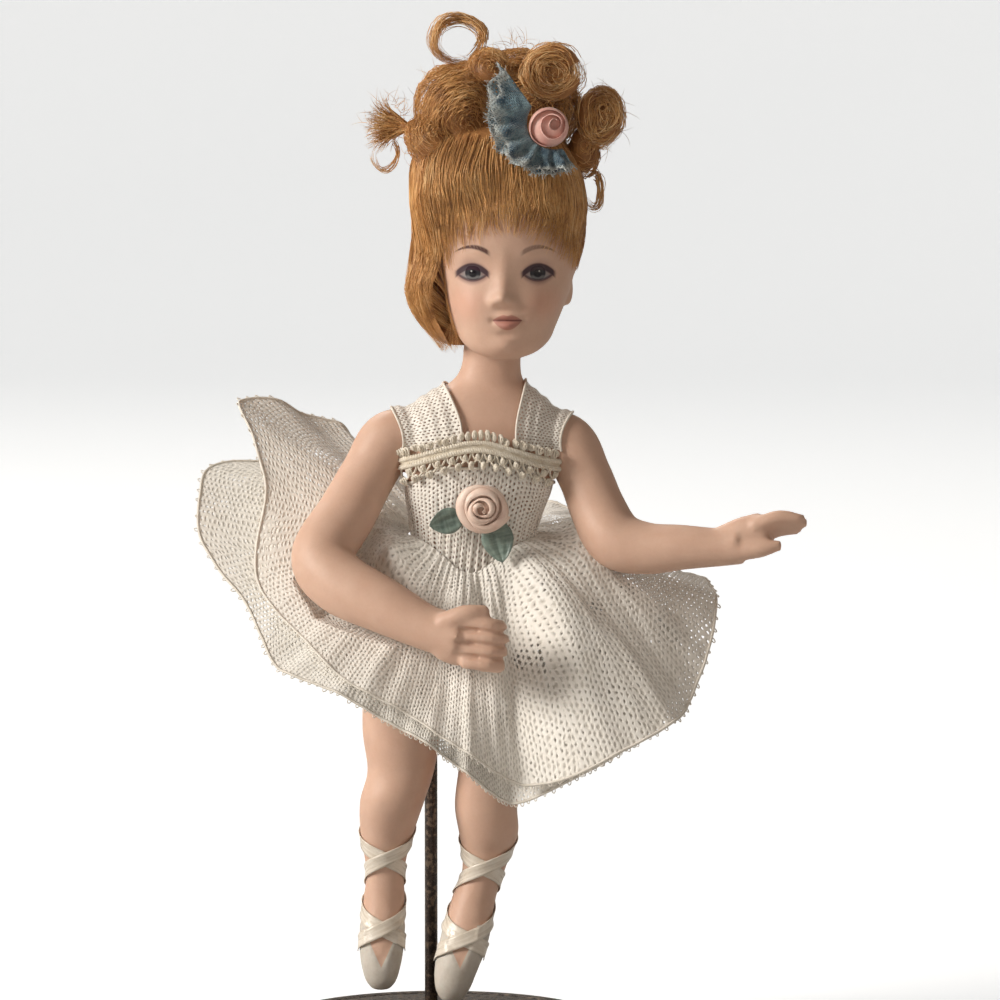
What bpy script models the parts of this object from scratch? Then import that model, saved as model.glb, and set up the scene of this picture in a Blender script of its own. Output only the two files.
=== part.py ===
"""Ballerina figurine: a bisque dancer in a knitted tulle tutu, held at the waist by a doll stand.

Metres, +Z up. +X is to the right of someone who faces the figure, and -Y is towards them.
The origin is the centre of the stand's underside. The figure's pose and carving are shares of its
height, written in steps; what is worn or fits is set by real sizes and wrapped onto the figure.
"""

import math

import bmesh
import bpy
from mathutils import Matrix, Vector
from mathutils.bvhtree import BVHTree
from mathutils.geometry import intersect_point_line

# The figure: its height from the toe tips to the top of the hair loop, and one step of its pose
DOLL_HEIGHT = 0.198
STEPS_IN_HEIGHT = 198
STEP = DOLL_HEIGHT / STEPS_IN_HEIGHT

# Gaps and cloth
CLEARANCE = 0.0003
WRAP_LIFT = 0.0005
WIG_GAP = 0.0009
TULLE_THICKNESS = 0.0006
BRAID_THICKNESS = 0.0011
BRAID_WIDTH = 0.0052
RIBBON_WIDTH = 0.0030
RIBBON_THICKNESS = 0.0003
RIBBON_PITCH = 0.0140
RIBBON_LIFT = 0.0008
LEAF_THICKNESS = 0.0006
WAIST_ROSE_DIAMETER = 0.0114
HAIR_ROSE_DIAMETER = 0.0096
ROSE_DEPTH = 0.0052
RUFFLE_WIDTH = 0.0052

# The stand
BASE_DIAMETER = 0.068
BASE_THICKNESS = 0.0040
BASE_EDGE_RADIUS = 0.0012
TOE_GAP = 0.0040
ROD_DIAMETER = 0.0026
ROD_SOCKET_DEPTH = 0.0025
SLEEVE_WALL = 0.0009
SLEEVE_HEIGHT = 0.0070
ROD_ABOVE_SLEEVE = 0.0005
CLIP_WIRE_DIAMETER = 0.0018

# Mesh fineness
VOXEL = 0.55 * STEP
FIGURE_TRIANGLES = 2500
WIG_TRIANGLES = 1150
HOLLOW_TRIANGLES = 520
RING_SIDES = 24
LIMB_SIDES = 14
SKIRT_GORES = 42
SKIRT_RINGS = 5

TOE_HEIGHT = BASE_THICKNESS + TOE_GAP
HEAD_X = 13.0
WAIST_X = 6.6
WAIST_Z = 90.0
ROD_X = -2.0
ROD_Y = 12.8


def place(x, y, z):
    """A point of the pose, in steps from the toe tips, as a place in the world."""
    return Vector((x * STEP, y * STEP, TOE_HEIGHT + z * STEP))


def smooth_step(t):
    """Eases from 0 to 1."""
    t = min(1.0, max(0.0, t))
    return t * t * (3 - 2 * t)


def curve_through(rows, t):
    """Reads a smooth curve through rows of numbers at t, from 0 at the first row to 1 at the last."""
    last = len(rows) - 1
    at = min(max(t, 0.0), 1.0) * last
    i = min(int(at), last - 1)
    f = at - i
    before, a, b, after = rows[max(i - 1, 0)], rows[i], rows[i + 1], rows[min(i + 2, last)]
    return [
        q + 0.5 * f * (r - p + f * (2 * p - 5 * q + 4 * r - s + f * (3 * (q - r) + s - p)))
        for p, q, r, s in zip(before, a, b, after)
    ]


def around(rows, degrees):
    """Reads rows that start with an azimuth as a smooth closed curve."""
    count = len(rows)
    degrees = degrees % 360
    i = max((k for k in range(count) if rows[k][0] <= degrees), default=count - 1)
    here, there = rows[i], rows[(i + 1) % count]
    span = (there[0] - here[0]) % 360
    f = ((degrees - here[0]) % 360) / span
    before, after = rows[i - 1], rows[(i + 2) % count]
    return [
        q + 0.5 * f * (r - p + f * (2 * p - 5 * q + 4 * r - s + f * (3 * (q - r) + s - p)))
        for p, q, r, s in zip(before[1:], here[1:], there[1:], after[1:])
    ]


def collection(name):
    group = bpy.data.collections.new(name)
    bpy.context.scene.collection.children.link(group)
    return group


def material(name, colour, roughness, metallic=0.0):
    made = bpy.data.materials.new(name)
    made.use_nodes = True
    shader = made.node_tree.nodes["Principled BSDF"]
    shader.inputs["Base Color"].default_value = (*colour, 1.0)
    shader.inputs["Roughness"].default_value = roughness
    shader.inputs["Metallic"].default_value = metallic
    return made


def add_part(name, mesh, look):
    """Puts a mesh in the figurine's collection as a named sub-part."""
    mesh.name = name
    part = bpy.data.objects.new(name, mesh)
    mesh.materials.clear()
    mesh.materials.append(look)
    figurine.objects.link(part)
    return part


def add_cutter(name, mesh):
    cutter = bpy.data.objects.new(name, mesh)
    cutters.objects.link(cutter)
    cutter.hide_render = True
    cutter.display_type = "WIRE"
    return cutter


def boolean(part, operation, other):
    cut = part.modifiers.new(other.name, "BOOLEAN")
    cut.operation = operation
    cut.solver = "EXACT"
    cut.object = other


def as_mesh(part):
    """The part's shape with its modifiers, as a plain mesh in the world."""
    bpy.context.view_layer.update()
    graph = bpy.context.evaluated_depsgraph_get()
    mesh = bpy.data.meshes.new_from_object(part.evaluated_get(graph))
    mesh.transform(part.matrix_world)
    return mesh


def loft(rings, mesh=None):
    """Skins rings of equal length and closes both ends with a fan round a middle point."""
    shape = bmesh.new()
    if mesh:
        shape.from_mesh(mesh)
    loops = [[shape.verts.new(p) for p in ring] for ring in rings]
    for low, high in zip(loops, loops[1:]):
        for i in range(len(low)):
            j = (i + 1) % len(low)
            shape.faces.new((low[i], low[j], high[j], high[i]))
    for loop, turned in ((loops[0], True), (loops[-1], False)):
        middle = shape.verts.new(sum((v.co for v in loop), Vector()) / len(loop))
        for i in range(len(loop)):
            j = (i + 1) % len(loop)
            shape.faces.new((loop[j], loop[i], middle) if turned else (loop[i], loop[j], middle))
    mesh = mesh or bpy.data.meshes.new("loft")
    shape.to_mesh(mesh)
    shape.free()
    return mesh


def grid(points, closed=False):
    """An open sheet through rows of points."""
    shape = bmesh.new()
    rows = [[shape.verts.new(p) for p in row] for row in points]
    for low, high in zip(rows, rows[1:]):
        for i in range(len(low) - (0 if closed else 1)):
            j = (i + 1) % len(low)
            shape.faces.new((low[i], low[j], high[j], high[i]))
    mesh = bpy.data.meshes.new("grid")
    shape.to_mesh(mesh)
    shape.free()
    return mesh


def thicken(part, thickness, side=1.0):
    solid = part.modifiers.new("thickness", "SOLIDIFY")
    solid.thickness = thickness
    solid.offset = side
    solid.use_even_offset = False
    return part


def fused(mesh, triangles, smoothing):
    """Melts overlapping closed shapes into one skin and thins it to a number of triangles."""
    lump = bpy.data.objects.new("lump", mesh)
    bpy.context.scene.collection.objects.link(lump)
    melt = lump.modifiers.new("melt", "REMESH")
    melt.mode = "VOXEL"
    melt.voxel_size = VOXEL
    soften = lump.modifiers.new("soften", "SMOOTH")
    soften.factor = 0.5
    soften.iterations = smoothing
    fine = as_mesh(lump)
    thin = lump.modifiers.new("thin", "DECIMATE")
    thin.ratio = triangles / (2 * len(fine.polygons))
    result = as_mesh(lump)
    bpy.data.objects.remove(lump)
    bpy.data.meshes.remove(fine)
    return result


def oval_ring(cx, front, back, width, z, sides=RING_SIDES, power=0.88):
    """A level ring, egg shaped where its front and back depths differ."""
    ring = []
    for i in range(sides):
        turn = 2 * math.pi * i / sides
        across, along = math.sin(turn), -math.cos(turn)
        across = math.copysign(abs(across) ** power, across)
        along = math.copysign(abs(along) ** power, along)
        middle = (front + back) / 2
        reach = (back - front) / 2
        ring.append((cx + width * across, middle + reach * along, z))
    return ring


def blob(mesh, centre, radii, sides=12, rings=8):
    """Adds a closed ellipsoid to a mesh of lumps."""
    rows = []
    for k in range(rings + 1):
        tilt = math.pi * (0.06 + 0.88 * k / rings)
        rows.append([
            place(
                centre[0] + radii[0] * math.sin(tilt) * math.cos(2 * math.pi * i / sides),
                centre[1] + radii[1] * math.sin(tilt) * math.sin(2 * math.pi * i / sides),
                centre[2] - radii[2] * math.cos(tilt),
            )
            for i in range(sides)
        ])
    return loft(rows, mesh)


def limb(mesh, stations, count, sides=LIMB_SIDES, flatness=1.0, flat_way=(0, 1, 0)):
    """Adds a tube through stations of x, y, z and radius; flatness squeezes it along flat_way."""
    rows = [curve_through(stations, k / (count - 1)) for k in range(count)]
    centres = [Vector(row[:3]) for row in rows]
    rings = []
    for k, row in enumerate(rows):
        along = (centres[min(k + 1, count - 1)] - centres[max(k - 1, 0)]).normalized()
        across = along.cross(Vector(flat_way)).normalized()
        up = along.cross(across).normalized()
        rings.append([
            place(*(
                centres[k]
                + across * row[3] * math.cos(2 * math.pi * i / sides)
                + up * row[3] * flatness * math.sin(2 * math.pi * i / sides)
            ))
            for i in range(sides)
        ])
    return loft(rings, mesh)


# The bisque figure, cast as one piece

# Torso stations in steps: height, middle across, front, back, half width
TORSO = [
    (56.5, 1.2, -4.5, 5.0, 6.0),
    (60.0, 1.0, -8.0, 8.5, 14.0),
    (69.8, 2.2, -9.8, 10.6, 16.4),
    (77.8, 4.0, -9.4, 10.0, 14.9),
    (85.8, 5.8, -8.2, 8.6, 12.3),
    (90.8, 6.4, -7.8, 7.9, 11.3),
    (95.8, 6.8, -8.2, 8.0, 12.0),
    (102.6, 7.6, -9.6, 8.6, 13.8),
    (109.8, 8.2, -9.8, 9.0, 15.0),
    (115.8, 8.2, -8.6, 8.6, 15.6),
    (119.4, 8.4, -7.2, 8.0, 14.2),
    (122.2, 8.8, -6.2, 7.4, 10.6),
    (124.6, 9.6, -5.2, 6.8, 7.2),
    (127.6, 10.2, -4.8, 6.4, 5.9),
    (132.0, 10.6, -4.8, 6.4, 5.8),
    (137.0, 11.2, -5.0, 6.6, 6.0),
]

# Head stations in steps: height, front, back, half width
HEAD = [
    (129.7, -11.6, -6.0, 2.6),
    (131.0, -13.3, -1.0, 6.2),
    (133.2, -14.3, 5.0, 8.8),
    (136.2, -14.8, 9.4, 10.2),
    (140.0, -14.9, 12.4, 11.8),
    (144.0, -14.5, 14.4, 13.2),
    (149.0, -14.6, 16.0, 14.4),
    (155.0, -14.9, 16.8, 14.8),
    (161.0, -13.9, 16.2, 14.5),
    (166.6, -11.3, 14.2, 12.8),
    (171.2, -7.8, 10.8, 10.0),
    (174.2, -3.8, 6.2, 5.6),
    (175.2, -1.0, 3.0, 2.2),
]

# Face relief in steps: across from the middle, height, spread across, spread up, how far it stands out
FACE = [
    (-0.6, 141.9, 1.7, 1.7, 2.6),
    (-0.4, 145.2, 1.7, 3.0, 1.1),
    (-6.3, 146.8, 2.6, 1.8, -1.0),
    (6.4, 146.8, 2.6, 1.8, -1.0),
    (-6.3, 146.8, 1.7, 1.0, 0.9),
    (6.4, 146.8, 1.7, 1.0, 0.9),
    (0.3, 138.3, 2.1, 0.8, 0.9),
    (0.3, 136.7, 1.6, 0.8, 0.8),
    (0.0, 132.9, 2.4, 1.7, 0.7),
    (-6.5, 140.0, 3.2, 3.0, 0.5),
    (6.5, 140.0, 3.2, 3.0, 0.5),
]

# Ears in steps: distance from the middle, depth, height and radii
EAR_X = 13.3
EAR_Y = 2.0
EAR_Z = 143.0
EAR_RADII = (1.2, 2.2, 3.4)

# Legs in steps: height, middle across, middle depth, half width
RIGHT_LEG = [
    (66.0, -7.2, 0.4, 8.2),
    (54.6, -7.7, 0.0, 7.9),
    (46.4, -7.9, -0.4, 6.7),
    (40.4, -9.6, -0.8, 6.5),
    (33.8, -10.7, 0.4, 5.4),
    (28.8, -11.0, 1.0, 4.3),
    (24.8, -11.1, 1.2, 3.8),
    (20.8, -11.3, 1.4, 4.1),
    (15.8, -11.6, 0.6, 4.3),
    (10.8, -11.8, -0.8, 4.2),
    (7.2, -11.9, -1.8, 3.7),
    (4.2, -11.9, -2.4, 2.8),
    (2.6, -11.9, -2.6, 1.5),
]
LEFT_LEG = [
    (66.0, 9.0, 0.4, 8.0),
    (54.6, 10.0, 0.0, 7.2),
    (48.8, 10.2, -0.4, 6.4),
    (39.8, 9.2, -0.8, 6.3),
    (33.8, 9.7, 0.2, 6.0),
    (29.4, 9.3, 1.0, 4.9),
    (24.8, 8.4, 1.2, 4.2),
    (20.8, 6.9, 1.4, 4.4),
    (15.8, 5.7, 0.4, 4.6),
    (10.8, 4.5, -1.0, 4.6),
    (6.4, 3.2, -2.2, 4.1),
    (2.6, 2.5, -3.0, 3.2),
    (0.4, 2.3, -3.4, 1.8),
]

# Arms in steps: across, depth, height, radius
RIGHT_ARM = [
    (-2.0, 0.4, 112.6, 5.4),
    (-9.6, 0.0, 113.0, 5.9),
    (-14.0, -1.8, 106.6, 5.6),
    (-18.4, -6.0, 98.8, 5.9),
    (-23.2, -12.0, 90.8, 6.2),
    (-19.6, -16.4, 85.8, 6.2),
    (-11.0, -21.0, 81.8, 5.5),
    (-2.4, -24.4, 77.8, 4.5),
    (4.6, -26.4, 76.0, 4.6),
]
LEFT_ARM = [
    (16.0, 0.4, 112.8, 5.2),
    (24.8, 0.0, 112.6, 5.7),
    (28.8, -1.6, 106.0, 5.4),
    (31.6, -4.2, 99.2, 5.6),
    (35.0, -7.0, 93.6, 5.9),
    (41.0, -9.4, 92.0, 5.2),
    (48.0, -11.6, 92.4, 4.5),
    (55.6, -13.4, 92.6, 3.8),
    (59.6, -14.2, 93.2, 3.9),
]


def head_ring(z, front, back, width, sides=RING_SIDES + 8):
    """A level ring of the head, with the face's relief on its front."""
    ring = []
    for x, y, _ in oval_ring(0.0, front, back, width, z, sides):
        facing = smooth_step((-y - 2) / 6)
        stands_out = sum(
            push * math.exp(-(((x - fx) / sx) ** 2) - ((z - fz) / sz) ** 2)
            for fx, fz, sx, sz, push in FACE
        )
        ring.append(place(HEAD_X + x, y - facing * stands_out, z))
    return ring


def head_lump(mesh, rings=34):
    rows = [curve_through(HEAD, k / (rings - 1)) for k in range(rings)]
    mesh = loft([head_ring(*row) for row in rows], mesh)
    for side in (-1, 1):
        mesh = blob(mesh, (HEAD_X + side * EAR_X, EAR_Y, EAR_Z), EAR_RADII)
    return mesh


def torso_lump(mesh, rings=26):
    rows = [curve_through(TORSO, k / (rings - 1)) for k in range(rings)]
    return loft([
        [place(*p) for p in oval_ring(cx, front, back, width, z)]
        for z, cx, front, back, width in rows
    ], mesh)


def leg_lump(mesh, stations, rings=26):
    """A leg on its toe tip: its foot is deeper than it is wide at the heel."""
    rings_up = []
    for k in range(rings):
        z, cx, cy, width = curve_through(stations[::-1], k / (rings - 1))
        heel = math.exp(-(((z - 20.0) / 5.0) ** 2))
        calf = math.exp(-(((z - 33.0) / 6.0) ** 2))
        front, back = cy - width * 1.02, cy + width * (1.02 + 0.16 * heel + 0.16 * calf)
        rings_up.append([place(*p) for p in oval_ring(cx, front, back, width, z, LIMB_SIDES, 0.94)])
    return loft(rings_up, mesh)


def open_hand(mesh):
    """The left hand: palm, four fingers side by side, and the thumb held low."""
    mesh = limb(mesh, [(56.0, -13.6, 92.6, 3.6), (62.0, -14.8, 94.2, 4.0), (66.6, -15.4, 95.4, 3.3)],
                6, flatness=0.62)
    for k in range(4):
        depth = -17.8 + 1.6 * k
        reach = 72.4 - 0.5 * abs(k - 1.4)
        mesh = limb(mesh, [
            (62.0, -15.4 + 0.6 * (k - 1.5), 95.4, 1.5),
            (67.6, depth + 0.2, 97.2, 1.35),
            (reach, depth, 96.6, 0.95),
        ], 6, sides=8)
    return limb(mesh, [
        (58.4, -15.4, 92.0, 2.0),
        (63.0, -16.6, 91.6, 1.9),
        (67.6, -17.2, 92.6, 1.0),
    ], 6, sides=8)


def closed_hand(mesh):
    """The right hand: a loose fist laid on the skirt, with the thumb above."""
    mesh = blob(mesh, (5.6, -26.8, 75.4), (8.2, 4.6, 5.6))
    for k in range(4):
        height = 79.4 - 2.5 * k
        mesh = limb(mesh, [
            (4.0, -28.8, height, 1.7),
            (10.6 - 0.3 * abs(k - 1), -29.2, height - 0.6, 1.6),
            (12.6 - 0.5 * abs(k - 1.2), -26.6, height - 1.2, 1.45),
            (8.0, -24.2, height - 1.2, 1.3),
        ], 8, sides=8)
    return limb(mesh, [
        (0.8, -27.6, 79.0, 2.1),
        (5.4, -28.6, 81.0, 1.8),
        (9.8, -28.0, 81.4, 1.2),
    ], 6, sides=8)


def figure_mesh():
    mesh = torso_lump(None)
    mesh = head_lump(mesh)
    mesh = leg_lump(mesh, RIGHT_LEG)
    mesh = leg_lump(mesh, LEFT_LEG)
    mesh = limb(mesh, RIGHT_ARM, 24)
    mesh = limb(mesh, LEFT_ARM, 24)
    mesh = open_hand(mesh)
    mesh = closed_hand(mesh)
    return fused(mesh, FIGURE_TRIANGLES, 3)


# The mohair wig, one curled and pinned mass glued to the head

# Wig cap stations in steps: height, left edge, right edge, front, back
WIG_CAP = [
    (131.6, 2.0, 15.0, -6.0, 8.0),
    (133.6, -1.2, 18.0, -8.6, 11.6),
    (137.0, -4.2, 21.2, -9.6, 14.4),
    (142.0, -6.2, 24.4, -11.4, 16.6),
    (148.0, -5.6, 27.2, -14.4, 18.6),
    (155.0, -5.0, 28.8, -16.8, 19.4),
    (162.0, -5.2, 28.4, -16.2, 18.8),
    (168.4, -5.0, 26.6, -13.8, 16.6),
    (173.4, -2.6, 23.4, -10.2, 13.0),
    (177.4, 2.0, 18.6, -6.4, 8.6),
]

# Lower edge of the fringe and the hair line, in steps, seen from the front
FACE_OPENING = [
    (40.0, 152.2), (27.4, 151.0), (23.0, 154.4), (18.0, 157.6), (12.0, 158.6), (6.0, 156.8),
    (1.6, 154.0), (-1.2, 150.4), (-1.8, 143.6), (-0.8, 137.6), (2.2, 131.8), (3.0, 118.0),
    (40.0, 118.0),
]
FACE_OPENING_BACK = 3.6

# Pinned curls in steps: middle, then radii
CURLS = [
    ((3.2, -1.0, 178.6), (7.4, 8.6, 8.8)),
    ((-1.4, -3.0, 172.6), (5.0, 6.4, 5.4)),
    ((15.6, 1.6, 178.6), (11.6, 9.4, 9.2)),
    ((10.0, -3.0, 186.2), (4.6, 5.0, 4.2)),
    ((16.2, -2.0, 188.8), (4.4, 4.6, 3.4)),
    ((22.6, -4.0, 186.0), (4.6, 5.0, 4.6)),
    ((32.2, -0.5, 176.8), (4.5, 5.2, 5.8)),
    ((28.6, 0.5, 170.8), (3.2, 4.0, 5.2)),
    ((-11.2, -0.5, 177.4), (4.4, 3.2, 3.4)),
    ((8.0, 9.0, 180.0), (9.0, 8.0, 8.0)),
]

# Loose curls in steps: middle, radii, the strand's radius, then start and sweep in degrees, and lean
LOOSE_CURLS = [
    ((22.6, -8.0, 186.0), (3.8, 3.8), 2.2, 0, 340, 0.0),
    ((4.0, -1.0, 194.0), (5.0, 4.0), 1.0, -60, 330, 1.0),
    ((-11.0, -1.0, 170.2), (2.2, 2.8), 0.8, 60, -250, 0.0),
    ((30.2, -1.0, 163.0), (1.9, 3.2), 0.9, 120, -250, 0.0),
]

# Twists of hair that carry the tuft and its curl, in steps: across, depth, height, radius
HAIR_NECKS = [
    [(-9.6, -0.6, 172.8, 0.9), (-9.0, -0.6, 176.0, 1.1)],
    [(-9.0, -0.5, 176.0, 1.7), (-5.6, -0.8, 175.2, 1.4), (-1.0, -1.0, 175.6, 2.0)],
    [(4.6, -1.0, 186.0, 2.0), (5.6, -1.0, 190.6, 1.2)],
]


def ring_of_hair(mesh, centre, radii, strand, start, sweep, count=20, lean=0.0):
    """Adds a loose loop of hair, an arc of a tube seen from the front."""
    stations = []
    for k in range(count):
        turn = math.radians(start + sweep * k / (count - 1))
        stations.append((
            centre[0] + radii[0] * math.cos(turn),
            centre[1] + lean * math.sin(turn),
            centre[2] + radii[1] * math.sin(turn),
            strand,
        ))
    return limb(mesh, stations, count, sides=8)


def wig_mesh():
    rows = [curve_through(WIG_CAP, k / 17) for k in range(18)]
    mesh = loft([
        [place(*p) for p in oval_ring((left + right) / 2, front, back, (right - left) / 2, z)]
        for z, left, right, front, back in rows
    ])
    for centre, radii in CURLS:
        mesh = blob(mesh, centre, radii)
    for centre, radii, strand, start, sweep, lean in LOOSE_CURLS:
        mesh = ring_of_hair(mesh, centre, radii, strand, start, sweep, lean=lean)
    for stations in HAIR_NECKS:
        mesh = limb(mesh, stations, 8, sides=8)
    return fused(mesh, WIG_TRIANGLES, 2)


def head_cutter():
    """The head, ears and neck a little larger, melted into one shape, which hollows the wig."""
    grow = WIG_GAP / STEP
    rows = [curve_through(HEAD, k / 33) for k in range(34)]
    first, last = rows[0], rows[-1]
    rows = [(first[0] - grow, *first[1:])] + rows + [(last[0] + grow, *last[1:])]
    mesh = loft([
        [place(HEAD_X + x, y, z) for x, y, z in
         oval_ring(0.0, front - grow, back + grow, width + grow, z)]
        for z, front, back, width in rows
    ])
    mesh = loft([
        [place(*p) for p in oval_ring(cx, front - grow, back + grow, width + grow, z)]
        for z, cx, front, back, width in TORSO[-5:]
    ], mesh)
    for side in (-1, 1):
        mesh = blob(mesh, (HEAD_X + side * EAR_X, EAR_Y, EAR_Z), [r + grow for r in EAR_RADII])
    return fused(mesh, HOLLOW_TRIANGLES, 0)


def opening_cutter():
    """A prism through the front of the wig, in the outline of the fringe and the hair line."""
    rings = [
        [place(x, depth, z) for x, z in FACE_OPENING[::-1]]
        for depth in (FACE_OPENING_BACK, -40.0)
    ]
    shape = bmesh.new()
    back, front = [[shape.verts.new(p) for p in ring] for ring in rings]
    shape.faces.new(back[::-1])
    shape.faces.new(front)
    for i in range(len(back)):
        j = (i + 1) % len(back)
        shape.faces.new((back[i], back[j], front[j], front[i]))
    bmesh.ops.recalc_face_normals(shape, faces=shape.faces[:])
    mesh = bpy.data.meshes.new("opening")
    shape.to_mesh(mesh)
    shape.free()
    return mesh


# What wraps the figure

def tree_of(mesh):
    return BVHTree.FromPolygons(
        [v.co.copy() for v in mesh.vertices], [tuple(p.vertices) for p in mesh.polygons]
    )


def skin_point(skin, start, direction, lift):
    """A point lifted off a skin, found from inside the body."""
    hit = skin.ray_cast(start, direction)[0]
    if hit is None:
        raise ValueError(f"nothing to wrap at {tuple(start)}")
    return hit + direction * lift


def torso_axis(z):
    """The middle of the torso at a height, in steps."""
    heights = [row[0] for row in TORSO]
    i = max(k for k in range(len(TORSO) - 1) if heights[k] <= z)
    f = (z - heights[i]) / (heights[i + 1] - heights[i])
    low, high = TORSO[i], TORSO[i + 1]
    middle = [(row[2] + row[3]) / 2 for row in (low, high)]
    return low[1] + f * (high[1] - low[1]), middle[0] + f * (middle[1] - middle[0])


def facing(azimuth):
    """A level direction: 0 degrees is to the front and 90 to the right."""
    turn = math.radians(azimuth)
    return Vector((math.sin(turn), -math.cos(turn), 0.0))


def on_torso(azimuth, z, lift):
    cx, cy = torso_axis(z)
    return skin_point(torso_skin, place(cx, cy, z), facing(azimuth), lift)


def waist_height(azimuth):
    """The waist seam, which dips to a point in front."""
    toward_front = math.exp(-((((azimuth + 180) % 360 - 180) / 42.0) ** 2))
    return WAIST_Z + 3.6 - 7.0 * toward_front


def bodice_top(azimuth):
    """The bodice's upper edge, under the braid in front and the arms at the sides."""
    side = math.sin(math.radians(azimuth)) ** 2
    front = max(0.0, math.cos(math.radians(azimuth))) ** 4
    return 107.4 - 3.0 * side + 1.9 * front


def bodice_sheet(columns=28, rows=5):
    """The bodice: one sleeve of tulle from the waist seam to the braid."""
    points = []
    for k in range(rows):
        f = k / (rows - 1)
        points.append([])
        for i in range(columns):
            azimuth = 360 * i / columns
            z = waist_height(azimuth) + f * (bodice_top(azimuth) - waist_height(azimuth))
            points[-1].append(on_torso(azimuth, z, WRAP_LIFT))
    return grid(points, closed=True)


# Where a strap starts in front and ends behind, in degrees up from level, and its slanted front end
STRAP_START = -17
STRAP_SLANT = 14
STRAP_END = 206


def strap_sheet(side, columns=13, rows=5):
    """A shoulder strap: a band of tulle from the braid, over the shoulder and down the back."""
    points = []
    for k in range(rows):
        across = k / (rows - 1)
        row = []
        for i in range(columns):
            over = i / (columns - 1)
            front = STRAP_START + STRAP_SLANT * across
            turn = math.radians(front + (STRAP_END - front) * over)
            spread = math.cos(turn) ** 2
            inner = 7.8 - 3.8 * spread if side < 0 else 8.8 - 2.0 * spread
            outer = 17.4 - 2.2 * spread
            x = 8.4 + side * (inner + across * (outer - inner))
            z = 114.4 - 1.6 * across
            direction = Vector((0.0, -math.cos(turn), math.sin(turn)))
            row.append(skin_point(figure_skin, place(x, 0.0, z), direction, WRAP_LIFT))
        points.append(row if side < 0 else row[::-1])
    return grid(points)


def braid_middle(azimuth):
    """The height of the bust braid, which arches up in the middle and droops to the sides."""
    t = abs(azimuth + 4) / 88
    return 112.4 - 4.4 * smooth_step(t)


BRAID_END_AZIMUTH = 76


def braid_sheet(columns=21, rows=4):
    lift = WRAP_LIFT + TULLE_THICKNESS + CLEARANCE
    half = BRAID_WIDTH / (2 * STEP)
    points = []
    for k in range(rows):
        up = -half + 2 * half * k / (rows - 1)
        points.append([])
        for i in range(columns):
            end = BRAID_END_AZIMUTH - 6 * (k / (rows - 1))
            azimuth = -end + 2 * end * i / (columns - 1)
            swell = 0.25 * STEP * math.cos(math.pi * up / (2 * half))
            points[-1].append(on_torso(azimuth, braid_middle(azimuth) + up, lift + swell))
    return grid(points)


# The tutu: two layers of knitted tulle, gathered at the waist

# Hems: azimuth in degrees, then distance from the waist's middle and rise above the waist, in steps
OVERSKIRT_HEM = [
    (11, 27.5, -40.8), (32, 33.0, -42.0), (47, 40.0, -36.5), (64, 46.0, -29.9),
    (79, 47.3, -20.4), (94, 47.9, -10.5), (110, 46.3, -4.2), (130, 38.0, 0.1),
    (150, 34.7, 8.2), (192, 31.7, 9.7), (207, 34.7, 12.5), (221, 36.9, 19.0),
    (235, 42.1, 26.3), (250, 49.6, 30.4), (258, 45.3, 21.9), (267, 41.8, 10.6),
    (280, 43.9, -2.9), (298, 39.0, -13.6), (314, 34.4, -23.1), (332, 30.7, -27.4),
    (346, 27.8, -33.4),
]
UNDERSKIRT_HEM = [
    (10, 23.4, -43.4), (23, 26.3, -44.5), (43, 33.4, -38.8), (62, 39.4, -31.6),
    (78, 41.6, -23.4), (94, 41.7, -14.6), (112, 38.0, -9.0), (133, 34.0, -5.0),
    (161, 28.6, 3.0), (194, 27.8, 4.6), (216, 32.0, 8.4), (235, 39.9, 13.0),
    (248, 48.1, 20.0), (255, 55.4, 17.6), (261, 55.9, 12.0), (267, 55.1, 4.5),
    (272, 51.6, -0.6), (280, 46.3, -6.2), (288, 44.5, -12.4), (296, 43.0, -18.6),
    (306, 37.7, -22.4), (317, 32.7, -26.0), (334, 28.9, -30.6), (350, 25.9, -36.4),
]
SKIRT_LAYER_DROP = 2 * TULLE_THICKNESS + 2 * CLEARANCE
GATHERS = 13
GATHER_DEPTH = 1.1

# How far the skirt stays off the arm that presses on it
ARM_ROOM = 0.0016


def clear_of_arm(point, stations, away, room):
    """Pushes a point of cloth off the arm that lies on it, the way that `away` points."""
    for low, high in zip(stations, stations[1:]):
        start, end = place(*low[:3]), place(*high[:3])
        nearest, share = intersect_point_line(point, start, end)
        if not -0.2 <= share <= 1.2:
            continue
        radius = (low[3] + share * (high[3] - low[3])) * STEP + room
        along = (end - start).normalized()
        push = (away - along * away.dot(along)).normalized()
        off = point - nearest
        across = abs(off.dot(along.cross(push))) / radius
        depth = off.dot(push)
        if across > 1.6 or abs(depth) > 2.2 * radius:
            continue
        reach = radius * (1.1 - 0.4 * across * across)
        if depth < reach:
            point = point + push * (reach - depth) * smooth_step((1.6 - across) / 0.5)
    return point


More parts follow.
